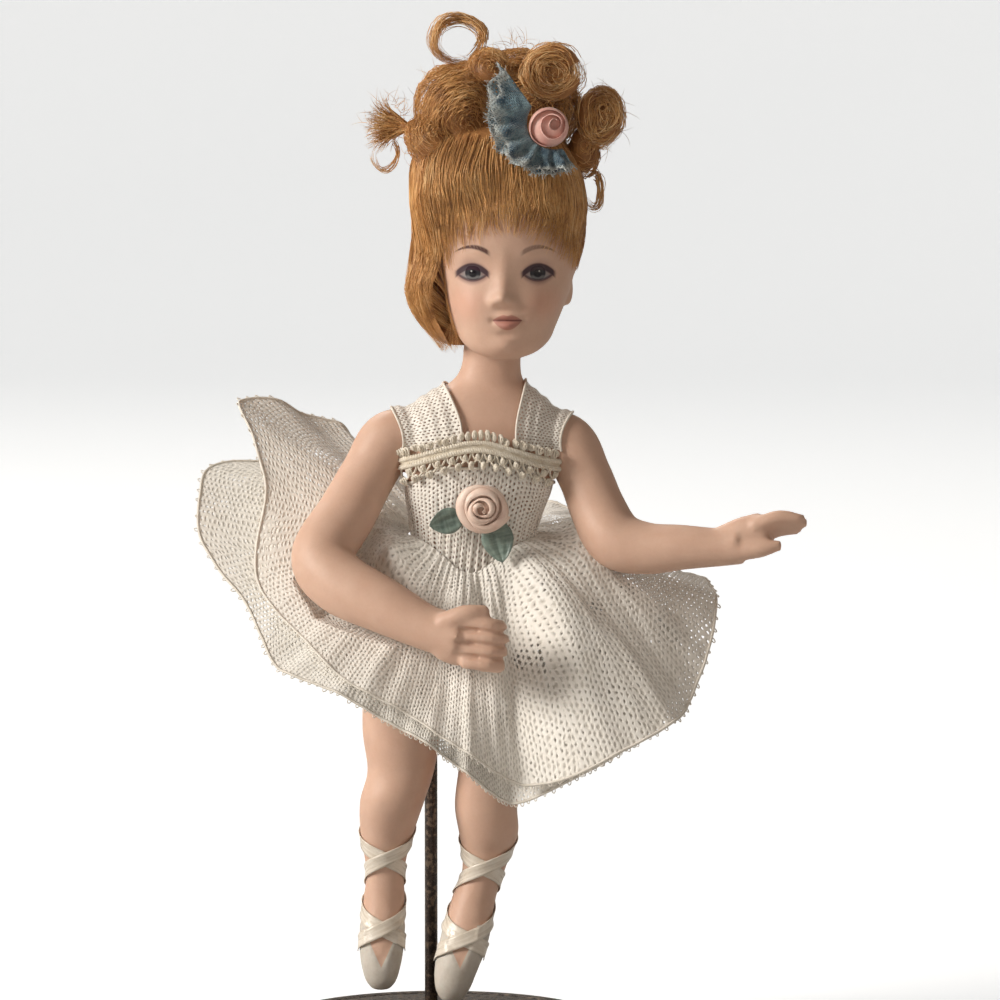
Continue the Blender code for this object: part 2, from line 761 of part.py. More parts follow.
def skirt_sheet(hem, drop, rings=SKIRT_RINGS):
    """One layer of the tutu, from the waist seam out to its hem, in soft radiating folds."""
    points = []
    for k in range(rings + 1):
        f = k / rings
        points.append([])
        for i in range(SKIRT_GORES):
            azimuth = 360 * i / SKIRT_GORES
            reach, rise = around(hem, azimuth)
            start = on_torso(azimuth, waist_height(azimuth), WRAP_LIFT + TULLE_THICKNESS)
            start.z -= drop
            end = place(WAIST_X, 0.0, WAIST_Z + rise) + facing(azimuth) * reach * STEP
            belly = 1.15 + 0.3 * math.sin(math.radians(azimuth))
            fold = GATHER_DEPTH * STEP * math.sin(math.pi * min(1.0, 1.2 * f) / 2)
            fold *= f * math.cos(math.radians(azimuth * GATHERS))
            level = start.lerp(end, f)
            level.z = start.z + (end.z - start.z) * f ** belly + fold
            if k > 0:
                level = clear_of_arm(level, RIGHT_ARM[2:5], Vector((0.0, 1.0, -0.4)), ARM_ROOM + drop)
                level = clear_of_arm(level, RIGHT_ARM[4:], Vector((0.0, 0.2, -1.0)), ARM_ROOM + drop)
            points[-1].append(level)
    return grid(points, closed=True)


# Trimmings

# The hair rose in steps: across and up, and the depth of the ruffle that it sits on
HAIR_ROSE_AT = (21.6, 175.6)
RUFFLE_DEPTH = -13.0

# The waist rose in steps: across and up
WAIST_ROSE_AT = (9.0, 100.4)

# Satin leaves: name, length and width in metres, root in steps across and up, turn in degrees
LEAVES = [
    ("leaf_right", 0.0062, 0.0048, (4.4, 98.3), -104),
    ("leaf_left", 0.0078, 0.0060, (10.8, 97.4), 168),
]


def rose_mesh(diameter, turns=2.2, columns=16, rows=6):
    """A ribbon rose, flat behind, with a wound spiral ridge; it faces -Y from its flat back."""
    points = []
    for k in range(rows + 1):
        f = k / rows
        tilt = f * math.pi / 2
        ring = []
        for i in range(columns):
            turn = 2 * math.pi * i / columns
            ridge = 0.10 * math.cos(turn - turns * 2 * math.pi * (1 - f)) * math.sin(math.pi * f)
            radius = diameter / 2 * (math.cos(tilt) * (1 + ridge) + 0.02)
            depth = ROSE_DEPTH * (math.sin(tilt) ** 0.8 + 0.5 * ridge)
            ring.append((radius * math.sin(turn), -depth, -radius * math.cos(turn)))
        points.append(ring)
    return loft([[Vector(p) for p in ring] for ring in points])


def leaf_part(name, length, width, at, turn):
    """A satin leaf cut to a point, as a flat outline with thickness."""
    outline = bpy.data.curves.new(name, "CURVE")
    outline.dimensions = "2D"
    outline.fill_mode = "BOTH"
    outline.extrude = LEAF_THICKNESS / 2
    outline.resolution_u = 4
    spline = outline.splines.new("BEZIER")
    spline.bezier_points.add(1)
    bulge = width * 0.68
    for point, y, side in ((spline.bezier_points[0], 0.0, -1), (spline.bezier_points[1], length, 1)):
        point.co = (0.0, y, 0.0)
        inward = length * 0.34 if y == 0.0 else -length * 0.34
        point.handle_left = (side * bulge, y + inward, 0.0)
        point.handle_right = (-side * bulge, y + inward, 0.0)
    spline.use_cyclic_u = True
    flat = bpy.data.objects.new(name, outline)
    bpy.context.scene.collection.objects.link(flat)
    flat.matrix_world = (
        Matrix.Translation(at) @ Matrix.Rotation(math.radians(turn), 4, "Y")
        @ Matrix.Rotation(math.radians(90), 4, "X")
    )
    mesh = as_mesh(flat)
    bpy.data.objects.remove(flat)
    shape = bmesh.new()
    shape.from_mesh(mesh)
    bmesh.ops.remove_doubles(shape, verts=shape.verts[:], dist=1e-6)
    shape.to_mesh(mesh)
    shape.free()
    return add_part(name, mesh, leaf_satin)


def ruffle_sheet(columns=19, rows=3):
    """The lace ruffle, a crumpled crescent fanned out round the lower left of the hair rose."""
    points = []
    for k in range(rows + 1):
        f = k / rows
        row = []
        for i in range(columns):
            t = i / (columns - 1)
            turn = math.radians(140 + 165 * t)
            near = HAIR_ROSE_DIAMETER / (2 * STEP) + 0.6 + 2.6 * (1 - t) ** 2 + 1.6 * t ** 4
            reach = near + f * RUFFLE_WIDTH / STEP
            crimp = 0.9 * (0.3 + f) * math.cos(2 * math.pi * 5.5 * t)
            down = reach * math.sin(turn)
            row.append(place(
                HAIR_ROSE_AT[0] + reach * math.cos(turn),
                RUFFLE_DEPTH + crimp + 0.5 * min(0.0, down),
                HAIR_ROSE_AT[1] + down,
            ))
        points.append(row)
    return grid(points)


def leg_axis(stations, z):
    """The middle of a leg at a height, in steps."""
    rows = stations[::-1]
    i = max(k for k in range(len(rows) - 1) if rows[k][0] <= z)
    f = (z - rows[i][0]) / (rows[i + 1][0] - rows[i][0])
    return [rows[i][c] + f * (rows[i + 1][c] - rows[i][c]) for c in (1, 2)]


# Where a ribbon starts, as turns from the front, and how many turns it makes
RIBBON_START = -0.25
RIBBON_TURNS = 1.62

# Height of the ribbons' first crossing in front of each leg, in steps
FIRST_CROSSING = {"right": 14.8, "left": 13.0}


def ribbon_sheet(stations, hand, first_crossing, over, columns=24, rows=2):
    """A satin ribbon wound up the calf from the slipper's side, and over its mate where they cross."""
    half = RIBBON_WIDTH / 2
    points = []
    for k in range(rows):
        up = -half + 2 * half * k / (rows - 1)
        row = []
        for i in range(columns):
            turn = RIBBON_START + RIBBON_TURNS * i / (columns - 1)
            azimuth = hand * 360 * turn
            z = first_crossing + (turn * RIBBON_PITCH + up) / STEP
            cx, cy = leg_axis(stations, z)
            crossing = 0.5 + 0.5 * math.cos(4 * math.pi * turn)
            lift = RIBBON_LIFT + over * (RIBBON_THICKNESS + 2 * CLEARANCE) * smooth_step(1.8 * crossing)
            row.append(skin_point(figure_skin, place(cx, cy, z), facing(azimuth), lift))
        points.append(row if hand > 0 else row[::-1])
    return grid(points)


# The stand

# The clip's height in steps, and how wide it is open in front, in degrees
CLIP_HEIGHT = 78.0
CLIP_OPENING = 130


def rod_part():
    """A straight rod from its socket in the base up to the clip."""
    foot = BASE_THICKNESS - ROD_SOCKET_DEPTH + CLEARANCE
    top = place(ROD_X, ROD_Y, CLIP_HEIGHT).z + SLEEVE_HEIGHT / 2 + ROD_ABOVE_SLEEVE
    bpy.ops.mesh.primitive_cylinder_add(vertices=16, radius=ROD_DIAMETER / 2, depth=top - foot)
    rod = bpy.context.object
    mesh = rod.data
    mesh.transform(Matrix.Translation((ROD_X * STEP, ROD_Y * STEP, (top + foot) / 2)))
    bpy.data.objects.remove(rod)
    return add_part("stand_rod", mesh, dark_metal)


def base_part():
    """A low round base with a rounded edge and a blind socket for the rod."""
    radius = BASE_DIAMETER / 2
    edge = BASE_EDGE_RADIUS
    profile = [(0.0, BASE_THICKNESS)]
    for k in range(4):
        turn = math.radians(30 * k)
        profile.append((
            radius - edge + edge * math.sin(turn),
            BASE_THICKNESS - edge + edge * math.cos(turn),
        ))
    profile += [(radius, 0.0), (0.0, 0.0)]
    mesh = bpy.data.meshes.new("stand_base")
    mesh.from_pydata([(x, 0.0, z) for x, z in profile], [(k, k + 1) for k in range(len(profile) - 1)], [])
    base = add_part("stand_base", mesh, dark_metal)
    turned = base.modifiers.new("turned", "SCREW")
    turned.steps = turned.render_steps = 28
    turned.use_merge_vertices = True
    turned.merge_threshold = 0.0001
    bpy.ops.mesh.primitive_cylinder_add(
        vertices=16, radius=ROD_DIAMETER / 2 + CLEARANCE, depth=2 * ROD_SOCKET_DEPTH
    )
    socket = bpy.context.object
    mesh = socket.data
    mesh.transform(Matrix.Translation((ROD_X * STEP, ROD_Y * STEP, BASE_THICKNESS)))
    bpy.data.objects.remove(socket)
    boolean(base, "DIFFERENCE", add_cutter("rod_socket", mesh))
    return base


def clip_part():
    """A sprung wire round the hips, open in front, on a sleeve that slides on the rod."""
    height = CLIP_HEIGHT
    wire = CLIP_WIRE_DIAMETER / 2
    lift = CLEARANCE + wire
    bent = bpy.data.curves.new("clip_wire", "CURVE")
    bent.dimensions = "3D"
    bent.bevel_depth = wire
    bent.bevel_resolution = 1
    bent.use_fill_caps = True
    count = 19
    spline = bent.splines.new("POLY")
    spline.points.add(count - 1)
    for i in range(count):
        azimuth = CLIP_OPENING / 2 + (360 - CLIP_OPENING) * i / (count - 1)
        spline.points[i].co = (*on_torso(azimuth, height, lift + 0.3 * STEP), 1.0)
    ring = bpy.data.objects.new("clip_wire", bent)
    bpy.context.scene.collection.objects.link(ring)
    mesh = as_mesh(ring)
    bpy.data.objects.remove(ring)
    shape = bmesh.new()
    shape.from_mesh(mesh)
    bmesh.ops.remove_doubles(shape, verts=shape.verts[:], dist=1e-6)
    shape.to_mesh(mesh)
    shape.free()
    clip = add_part("stand_clip", mesh, dark_metal)
    centre = place(ROD_X, ROD_Y, height)
    for name, radius, length, operation in (
        ("sleeve", ROD_DIAMETER / 2 + CLEARANCE + SLEEVE_WALL, SLEEVE_HEIGHT, "UNION"),
        ("sleeve_bore", ROD_DIAMETER / 2 + CLEARANCE, 2 * SLEEVE_HEIGHT, "DIFFERENCE"),
    ):
        bpy.ops.mesh.primitive_cylinder_add(vertices=16, radius=radius, depth=length)
        made = bpy.context.object
        mesh = made.data
        mesh.transform(Matrix.Translation(centre))
        bpy.data.objects.remove(made)
        boolean(clip, operation, add_cutter(name, mesh))
    return clip


for old in list(bpy.data.objects):
    bpy.data.objects.remove(old)

figurine = collection("ballerina_figurine")
cutters = collection("cutters")

bisque = material("bisque", (0.68, 0.46, 0.33), 0.55)
mohair = material("mohair", (0.52, 0.27, 0.10), 0.60)
ivory_tulle = material("ivory_tulle", (0.78, 0.73, 0.64), 0.80)
lining_tulle = material("lining_tulle", (0.76, 0.70, 0.60), 0.85)
ivory_braid = material("ivory_braid", (0.80, 0.74, 0.62), 0.65)
blush_satin = material("blush_satin", (0.80, 0.58, 0.50), 0.35)
leaf_satin = material("leaf_satin", (0.32, 0.42, 0.36), 0.45)
blue_lace = material("blue_lace", (0.38, 0.48, 0.52), 0.75)
ivory_satin = material("ivory_satin", (0.82, 0.76, 0.68), 0.30)
dark_metal = material("dark_metal", (0.16, 0.15, 0.14), 0.35, 1.0)

figure = add_part("figure", figure_mesh(), bisque)
figure_skin = tree_of(figure.data)
torso_skin = tree_of(torso_lump(None))

wig = add_part("wig", wig_mesh(), mohair)
boolean(wig, "DIFFERENCE", add_cutter("head_hollow", head_cutter()))
boolean(wig, "DIFFERENCE", add_cutter("face_opening", opening_cutter()))

thicken(add_part("bodice", bodice_sheet(), ivory_tulle), TULLE_THICKNESS)
thicken(add_part("strap_right", strap_sheet(-1), ivory_tulle), TULLE_THICKNESS)
thicken(add_part("strap_left", strap_sheet(1), ivory_tulle), TULLE_THICKNESS)
thicken(add_part("bust_braid", braid_sheet(), ivory_braid), BRAID_THICKNESS)
for name, hem, layer, look in (
    ("overskirt", OVERSKIRT_HEM, 1, ivory_tulle),
    ("underskirt", UNDERSKIRT_HEM, 2, lining_tulle),
):
    sheet = skirt_sheet(hem, layer * SKIRT_LAYER_DROP)
    thicken(add_part(name, sheet, look), TULLE_THICKNESS, 0.0)

thicken(add_part("hair_ruffle", ruffle_sheet(), blue_lace), TULLE_THICKNESS, 0.0)
rose = add_part("hair_rose", rose_mesh(HAIR_ROSE_DIAMETER), blush_satin)
rose.location = place(HAIR_ROSE_AT[0], RUFFLE_DEPTH, HAIR_ROSE_AT[1])

chest = on_torso(8, 99.0, 2 * CLEARANCE + TULLE_THICKNESS)
leaf_depth = chest.y - LEAF_THICKNESS / 2 - 0.6 * STEP
for name, length, width, (across, up), turn in LEAVES:
    root = place(across, 0.0, up)
    root.y = leaf_depth
    leaf_part(name, length, width, root, turn)
rose = add_part("waist_rose", rose_mesh(WAIST_ROSE_DIAMETER), blush_satin)
rose.location = place(WAIST_ROSE_AT[0], 0.0, WAIST_ROSE_AT[1])
rose.location.y = leaf_depth - LEAF_THICKNESS / 2 - CLEARANCE

for leg, stations in (("right", RIGHT_LEG), ("left", LEFT_LEG)):
    for turn_way, hand, over in (("under", -1, 0), ("over", 1, 1)):
        band = ribbon_sheet(stations, hand, FIRST_CROSSING[leg], over)
        thicken(add_part(f"{leg}_ribbon_{turn_way}", band, ivory_satin), RIBBON_THICKNESS)

base_part()
rod_part()
clip_part()
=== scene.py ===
import math
import random

import bmesh
import bpy
import numpy
from mathutils import Matrix, Vector, noise
from mathutils.bvhtree import BVHTree
from mathutils.geometry import intersect_point_line


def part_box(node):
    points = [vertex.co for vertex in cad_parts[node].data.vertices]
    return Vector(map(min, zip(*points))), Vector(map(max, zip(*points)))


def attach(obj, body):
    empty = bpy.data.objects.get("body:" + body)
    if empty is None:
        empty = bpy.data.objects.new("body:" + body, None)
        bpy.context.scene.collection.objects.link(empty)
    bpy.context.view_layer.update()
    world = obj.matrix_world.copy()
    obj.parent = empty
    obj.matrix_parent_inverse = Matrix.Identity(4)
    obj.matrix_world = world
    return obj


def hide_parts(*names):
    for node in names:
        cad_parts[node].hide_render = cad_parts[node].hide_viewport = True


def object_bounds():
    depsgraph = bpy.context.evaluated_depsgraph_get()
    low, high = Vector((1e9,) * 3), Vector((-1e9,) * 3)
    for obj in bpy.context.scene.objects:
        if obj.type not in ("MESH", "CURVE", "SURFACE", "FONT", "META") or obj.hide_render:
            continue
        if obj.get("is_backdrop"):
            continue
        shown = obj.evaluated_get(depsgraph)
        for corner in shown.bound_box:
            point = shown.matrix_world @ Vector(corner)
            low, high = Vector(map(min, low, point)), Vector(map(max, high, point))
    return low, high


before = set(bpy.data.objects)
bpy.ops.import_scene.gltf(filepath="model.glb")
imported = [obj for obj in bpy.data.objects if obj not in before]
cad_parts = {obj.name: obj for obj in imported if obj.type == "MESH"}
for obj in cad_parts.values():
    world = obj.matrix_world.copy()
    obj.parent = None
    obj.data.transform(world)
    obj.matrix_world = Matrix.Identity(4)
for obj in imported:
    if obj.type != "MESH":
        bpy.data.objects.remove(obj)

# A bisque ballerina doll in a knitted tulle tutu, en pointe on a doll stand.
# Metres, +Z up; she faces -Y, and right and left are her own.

cad_low, cad_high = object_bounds()

# The view
# A long lens five degrees above level, on a pale floor that sweeps up all round. One large light
# at the left leaves the other side in warm shade, and a small one behind catches the hair's edge.

LOOK_AT = Vector((0.012, 0.0, 0.1088))
CAMERA_DISTANCE = 1.2
CAMERA_RISE = math.radians(5.0)
VIEW_WIDTH = 0.200
SENSOR = 36.0
FLOOR_RADIUS = 2.0
SWEEP_RADIUS = 0.8
ROOM_LIGHT = 0.20
ROOM_COLOUR = (1.0, 0.87, 0.75)
FLOOR_GLOW = 0.60
LIGHTS = (
    # name, place, width, power, colour
    ("window", (-1.72, -0.62, 0.98), 0.8, 43.0, (1.0, 0.96, 0.90)),
    ("fill", (1.5, -1.2, 0.5), 1.2, 1.5, (1.0, 0.84, 0.68)),
    ("hair_light", (-0.5, 1.2, 1.2), 0.5, 8.0, (1.0, 0.97, 0.92)),
)


def aimed(location, target):
    """Turns a camera or a light at a place towards a target."""
    way = Vector(location) - target
    return Matrix.Translation(location) @ way.to_track_quat("Z", "Y").to_matrix().to_4x4()


lens = bpy.data.cameras.new("view")
lens.sensor_width = SENSOR
lens.lens = SENSOR * CAMERA_DISTANCE / VIEW_WIDTH
lens.clip_end = 10.0
camera = bpy.data.objects.new("view", lens)
back_off = Vector((0.0, -math.cos(CAMERA_RISE), math.sin(CAMERA_RISE))) * CAMERA_DISTANCE
camera.matrix_world = aimed(LOOK_AT + back_off, LOOK_AT)
bpy.context.scene.collection.objects.link(camera)
bpy.context.scene.camera = camera
bpy.context.scene.view_settings.view_transform = "Standard"

for name, location, width, power, colour in LIGHTS:
    lamp = bpy.data.lights.new(name, "AREA")
    lamp.shape = "DISK"
    lamp.size = width
    lamp.energy = power
    lamp.color = colour
    light = bpy.data.objects.new(name, lamp)
    light.matrix_world = aimed(location, LOOK_AT)
    bpy.context.scene.collection.objects.link(light)

room = bpy.data.worlds.new("room")
room.use_nodes = True
room.node_tree.nodes["Background"].inputs["Color"].default_value = (*ROOM_COLOUR, 1.0)
room.node_tree.nodes["Background"].inputs["Strength"].default_value = ROOM_LIGHT
bpy.context.scene.world = room


def node(tree, kind, inputs=(), **settings):
    """Adds a node; inputs maps a socket's name or number to a value or to another node's socket."""
    made = tree.nodes.new(kind)
    for key, value in settings.items():
        setattr(made, key, value)
    for key, value in dict(inputs).items():
        if isinstance(value, bpy.types.NodeSocket):
            tree.links.new(value, made.inputs[key])
        else:
            made.inputs[key].default_value = value
    return made


def calc(tree, operation, *values, clamp=False):
    """The result of a Math node on numbers or sockets."""
    return node(tree, "ShaderNodeMath", enumerate(values), operation=operation, use_clamp=clamp).outputs[0]


def ramp(tree, value, low, high, start=0.0, end=1.0):
    """Goes smoothly from start at low to end at high."""
    reach = {0: value, 1: low, 2: high, 3: start, 4: end}
    return node(tree, "ShaderNodeMapRange", reach, interpolation_type="SMOOTHSTEP").outputs[0]


def tinted(tree, share, low, high):
    """Mixes two colours by a share from 0 to 1."""
    low, high = [(*c, 1.0) if isinstance(c, tuple) else c for c in (low, high)]
    return node(tree, "ShaderNodeMix", {0: share, 6: low, 7: high}, data_type="RGBA").outputs[2]


def material(name, plain):
    """A material with its plain values on the Principled shader: returns it, its tree and its shader."""
    made = bpy.data.materials.new(name)
    made.use_nodes = True
    shader = made.node_tree.nodes["Principled BSDF"]
    for socket, value in plain.items():
        shader.inputs[socket].default_value = value
    return made, made.node_tree, shader


def relief(tree, shader, height, depth, strength=1.0):
    """Gives a shader a fine relief of a real depth from a height between 0 and 1."""
    bump = node(tree, "ShaderNodeBump", {"Strength": strength, "Distance": depth, "Height": height})
    tree.links.new(bump.outputs["Normal"], shader.inputs["Normal"])


def node_group(name, inputs, outputs, kind="ShaderNodeTree"):
    """An empty node group with named sockets: returns it, its input node and its output node."""
    group = bpy.data.node_groups.new(name, kind)
    for way, sockets in (("INPUT", inputs), ("OUTPUT", outputs)):
        for title, sort in sockets:
            group.interface.new_socket(title, in_out=way, socket_type="NodeSocket" + sort)
    return group, group.nodes.new("NodeGroupInput").outputs, group.nodes.new("NodeGroupOutput").inputs


mottle, given, result = node_group(
    "mottle", (("Vector", "Vector"), ("Scale", "Float"), ("Contrast", "Float")),
    (("Tone", "Float"), ("Height", "Float")),
)
broad = node(mottle, "ShaderNodeTexNoise", {"Vector": given["Vector"], "Scale": given["Scale"], "Detail": 3.0})
fine_scale = calc(mottle, "MULTIPLY", given["Scale"], 7.0)
fine = node(mottle, "ShaderNodeTexNoise", {"Vector": given["Vector"], "Scale": fine_scale, "Detail": 5.0})
uneven = calc(mottle, "MULTIPLY_ADD", fine.outputs["Fac"], 0.4, broad.outputs["Fac"])
spread = calc(mottle, "MULTIPLY", calc(mottle, "SUBTRACT", uneven, 0.7), given["Contrast"])
mottle.links.new(calc(mottle, "ADD", spread, 0.5, clamp=True), result["Tone"])
mottle.links.new(fine.outputs["Fac"], result["Height"])


def mottled(tree, scale, contrast, source="Object"):
    """Places the mottle group on the piece's own coordinates."""
    where = node(tree, "ShaderNodeTexCoord").outputs[source]
    made = node(tree, "ShaderNodeGroup", node_tree=mottle)
    tree.links.new(where, made.inputs["Vector"])
    made.inputs["Scale"].default_value = scale
    made.inputs["Contrast"].default_value = contrast
    return made.outputs


floor_paint, tree, shader = material("floor_paint", {
    "Roughness": 0.9, "Specular IOR Level": 0.1, "Emission Color": (0.93, 0.97, 1.0, 1.0),
})
tone = mottled(tree, 3.0, 0.5)["Tone"]
tree.links.new(tinted(tree, tone, (0.62, 0.61, 0.60), (0.66, 0.655, 0.65)), shader.inputs["Base Color"])
seen = node(tree, "ShaderNodeLightPath").outputs["Is Camera Ray"]
tree.links.new(calc(tree, "MULTIPLY", seen, FLOOR_GLOW), shader.inputs["Emission Strength"])


def circle(radius, z, sides, middle=(0.0, 0.0)):
    """A level ring of points."""
    turns = [2 * math.pi * i / sides for i in range(sides)]
    return [
        Vector((middle[0] + radius * math.cos(t), middle[1] + radius * math.sin(t), z)) for t in turns
    ]


def loft(rings, shape=None, ends=True):
    """Skins rings of equal length, and closes both ends with a fan round a middle point."""
    shape = bmesh.new() if shape is None else shape
    loops = [[shape.verts.new(p) for p in ring] for ring in rings]
    for low, high in zip(loops, loops[1:]):
        for i in range(len(low)):
            j = (i + 1) % len(low)
            shape.faces.new((low[i], low[j], high[j], high[i]))
    for loop, turned in ((loops[0], True), (loops[-1], False)) if ends else ():
        middle = shape.verts.new(sum((v.co for v in loop), Vector()) / len(loop))
        for i in range(len(loop)):
            j = (i + 1) % len(loop)
            shape.faces.new((loop[j], loop[i], middle) if turned else (loop[i], loop[j], middle))
    return shape


def as_mesh(shape):
    """Turns worked faces into a plain mesh."""
    mesh = bpy.data.meshes.new("piece")
    shape.to_mesh(mesh)
    shape.free()
    return mesh


def shown(name, mesh, look):
    """Puts a mesh in the scene, smoothly shaded."""
    made = bpy.data.objects.new(name, mesh)
    if look:
        mesh.materials.clear()
        mesh.materials.append(look)
    mesh.shade_smooth()
    bpy.context.scene.collection.objects.link(made)
    return made


sweep = [circle(FLOOR_RADIUS * k / 6, 0.0, 96) for k in range(1, 7)]
for k in range(1, 13):
    turn = math.radians(7.5 * k)
    sweep.append(circle(
        FLOOR_RADIUS + SWEEP_RADIUS * math.sin(turn), SWEEP_RADIUS * (1 - math.cos(turn)), 96
    ))
sweep.append(circle(FLOOR_RADIUS + SWEEP_RADIUS, SWEEP_RADIUS * 2.2, 96))
shape = loft(sweep, ends=False)
bmesh.ops.holes_fill(shape, edges=[e for e in shape.edges if e.is_boundary and e.verts[0].co.z == 0.0])
shown("floor", as_mesh(shape), floor_paint)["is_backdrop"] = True

# The doll stand
# A pressed and lacquered steel disc, a straight rod set in it, and a sprung wire clip that holds
# the hips from behind on a sleeve that slides up the rod.

DOLL_HEIGHT = 0.198
STEPS_IN_HEIGHT = 198
STEP = DOLL_HEIGHT / STEPS_IN_HEIGHT
base_low, base_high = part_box("stand_base")
rod_low, rod_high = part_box("stand_rod")
clip_low, clip_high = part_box("stand_clip")
TOE_GAP = 0.0040
TOE_HEIGHT = base_high.z + TOE_GAP
ROD_MIDDLE = ((rod_low.x + rod_high.x) / 2, (rod_low.y + rod_high.y) / 2)
ROD_RADIUS = (rod_high.x - rod_low.x) / 2
SLEEVE_RADIUS = 0.0025
CLIP_WIRE_RADIUS = 0.0009
CLIP_OPENING = 130
BASE_EDGE_RADIUS = 0.0012


def place(x, y, z):
    """A point of the pose, in steps from the toe tips, as a place in the world."""
    return Vector((x * STEP, y * STEP, TOE_HEIGHT + z * STEP))


def smooth_step(t):
    """Eases from 0 to 1."""
    t = min(1.0, max(0.0, t))
    return t * t * (3 - 2 * t)
def curve_through(rows, t):
    """Reads a smooth curve through rows of numbers at t, from 0 at the first row to 1 at the last."""
    last = len(rows) - 1
    at = min(max(t, 0.0), 1.0) * last
    i = min(int(at), last - 1)
    f = at - i
    before, a, b, after = rows[max(i - 1, 0)], rows[i], rows[i + 1], rows[min(i + 2, last)]
    return [
        q + 0.5 * f * (r - p + f * (2 * p - 5 * q + 4 * r - s + f * (3 * (q - r) + s - p)))
        for p, q, r, s in zip(before, a, b, after)
    ]


def piece(name, mesh, look, slot, *nodes):
    """Shows a mesh as a piece of the doll, in place of the plain solids that it stands for."""
    made = shown(name, mesh, look)
    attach(made, "root")
    if nodes:
        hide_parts(*nodes)
    return made


def put_in_scene(mesh):
    holder = bpy.data.objects.new("holder", mesh)
    bpy.context.scene.collection.objects.link(holder)
    return holder


def evaluated(holder):
    """The plain mesh that an object's modifiers make; the object itself goes."""
    bpy.context.view_layer.update()
    graph = bpy.context.evaluated_depsgraph_get()
    mesh = bpy.data.meshes.new_from_object(holder.evaluated_get(graph))
    bpy.data.objects.remove(holder)
    return mesh


lacquer, tree, shader = material("dark_lacquer", {"Coat Roughness": 0.2})
worn = mottled(tree, 900.0, 3.0)
rubbed = ramp(tree, worn["Tone"], 0.62, 0.80)
tree.links.new(tinted(tree, rubbed, (0.055, 0.042, 0.036), (0.22, 0.17, 0.13)), shader.inputs["Base Color"])
tree.links.new(ramp(tree, worn["Tone"], 0.2, 0.9, 0.26, 0.48), shader.inputs["Roughness"])
tree.links.new(ramp(tree, rubbed, 0.0, 1.0, 0.55, 0.95), shader.inputs["Metallic"])
relief(tree, shader, worn["Height"], 0.00003)

# Geometry Nodes that turn chains of edges into cords, wires or hairs
cords, given, result = node_group(
    "cords_along_chains",
    (("Chains", "Geometry"), ("Sides", "Int"), ("Material", "Material")),
    (("Cords", "Geometry"),), "GeometryNodeTree",
)
cords.is_modifier = True
lines = node(cords, "GeometryNodeMeshToCurve", {"Mesh": given["Chains"]})
along = node(cords, "GeometryNodeSplineParameter")
marked = node(
    cords, "GeometryNodeStoreNamedAttribute",
    {"Geometry": lines.outputs[0], "Name": "along", "Value": along.outputs["Factor"]},
    data_type="FLOAT", domain="POINT",
)
width = node(cords, "GeometryNodeInputNamedAttribute", {"Name": "thickness"}, data_type="FLOAT")
outline = node(cords, "GeometryNodeCurvePrimitiveCircle", {"Resolution": given["Sides"], "Radius": 1.0})
wound = node(cords, "GeometryNodeCurveToMesh", {
    "Curve": marked.outputs[0], "Profile Curve": outline.outputs[0],
    "Scale": width.outputs[0], "Fill Caps": True,
})
real = node(cords, "GeometryNodeRealizeInstances", {0: wound.outputs[0]})
dressed = node(cords, "GeometryNodeSetMaterial", {0: real.outputs[0], "Material": given["Material"]})
cords.links.new(dressed.outputs[0], result["Cords"])


def grown(tree, mesh, **inputs):
    """Runs Geometry Nodes on a mesh and returns the result as a plain mesh."""
    holder = put_in_scene(mesh)
    maker = holder.modifiers.new("maker", "NODES")
    maker.node_group = tree
    for item in tree.interface.items_tree:
        if item.in_out == "INPUT" and item.name in inputs:
            maker[item.identifier] = inputs[item.name]
    return evaluated(holder)


def corded(paths, sides, look):
    """Cords along paths, each a list of points, a thickness or a list of them, and a shade."""
    points, edges, widths, shades = [], [], [], []
    for path, thickness, shade in paths:
        first = len(points)
        points += path
        widths += thickness if isinstance(thickness, list) else [thickness] * len(path)
        shades += [shade] * len(path)
        edges += [(first + k, first + k + 1) for k in range(len(path) - 1)]
    mesh = bpy.data.meshes.new("chains")
    mesh.from_pydata(points, edges, [])
    for name, values in (("thickness", widths), ("shade", shades)):
        mesh.attributes.new(name, "FLOAT", "POINT").data.foreach_set("value", values)
    return grown(cords, mesh, Sides=sides, Material=look)


profile = [(base_high.x * s, 0.0) for s in (0.5, 0.97)]
profile += [(base_high.x - 0.0002, 0.0001), (base_high.x, 0.0005)]
for k in range(7):
    turn = math.radians(90 - 15 * k)
    profile.append((
        base_high.x - BASE_EDGE_RADIUS * (1 - math.sin(turn)),
        base_high.z - BASE_EDGE_RADIUS * (1 - math.cos(turn)),
    ))
profile += [(base_high.x * s, base_high.z - d) for s, d in ((0.90, 0.0), (0.88, 0.0003), (0.86, 0.0), (0.4, 0.0))]
base = piece(
    "pressed_base", as_mesh(loft([circle(r, z, 128) for r, z in profile])), lacquer,
    "dark_metal", "stand_base",
)

rod_rings = [
    circle(ROD_RADIUS * share, z, 32, ROD_MIDDLE)
    for share, z in (
        (0.8, rod_low.z), (1.0, rod_low.z + 0.0003), (1.0, rod_high.z - 0.0006),
        (0.85, rod_high.z - 0.0002), (0.5, rod_high.z),
    )
]
rod = piece("steel_rod", as_mesh(loft(rod_rings)), lacquer, "dark_metal", "stand_rod")

# The bisque doll
# Slip-cast and bisque-fired porcelain, flesh tinted and painted by hand. Her moulded slippers are
# part of the casting, so head, limbs and feet are one piece.

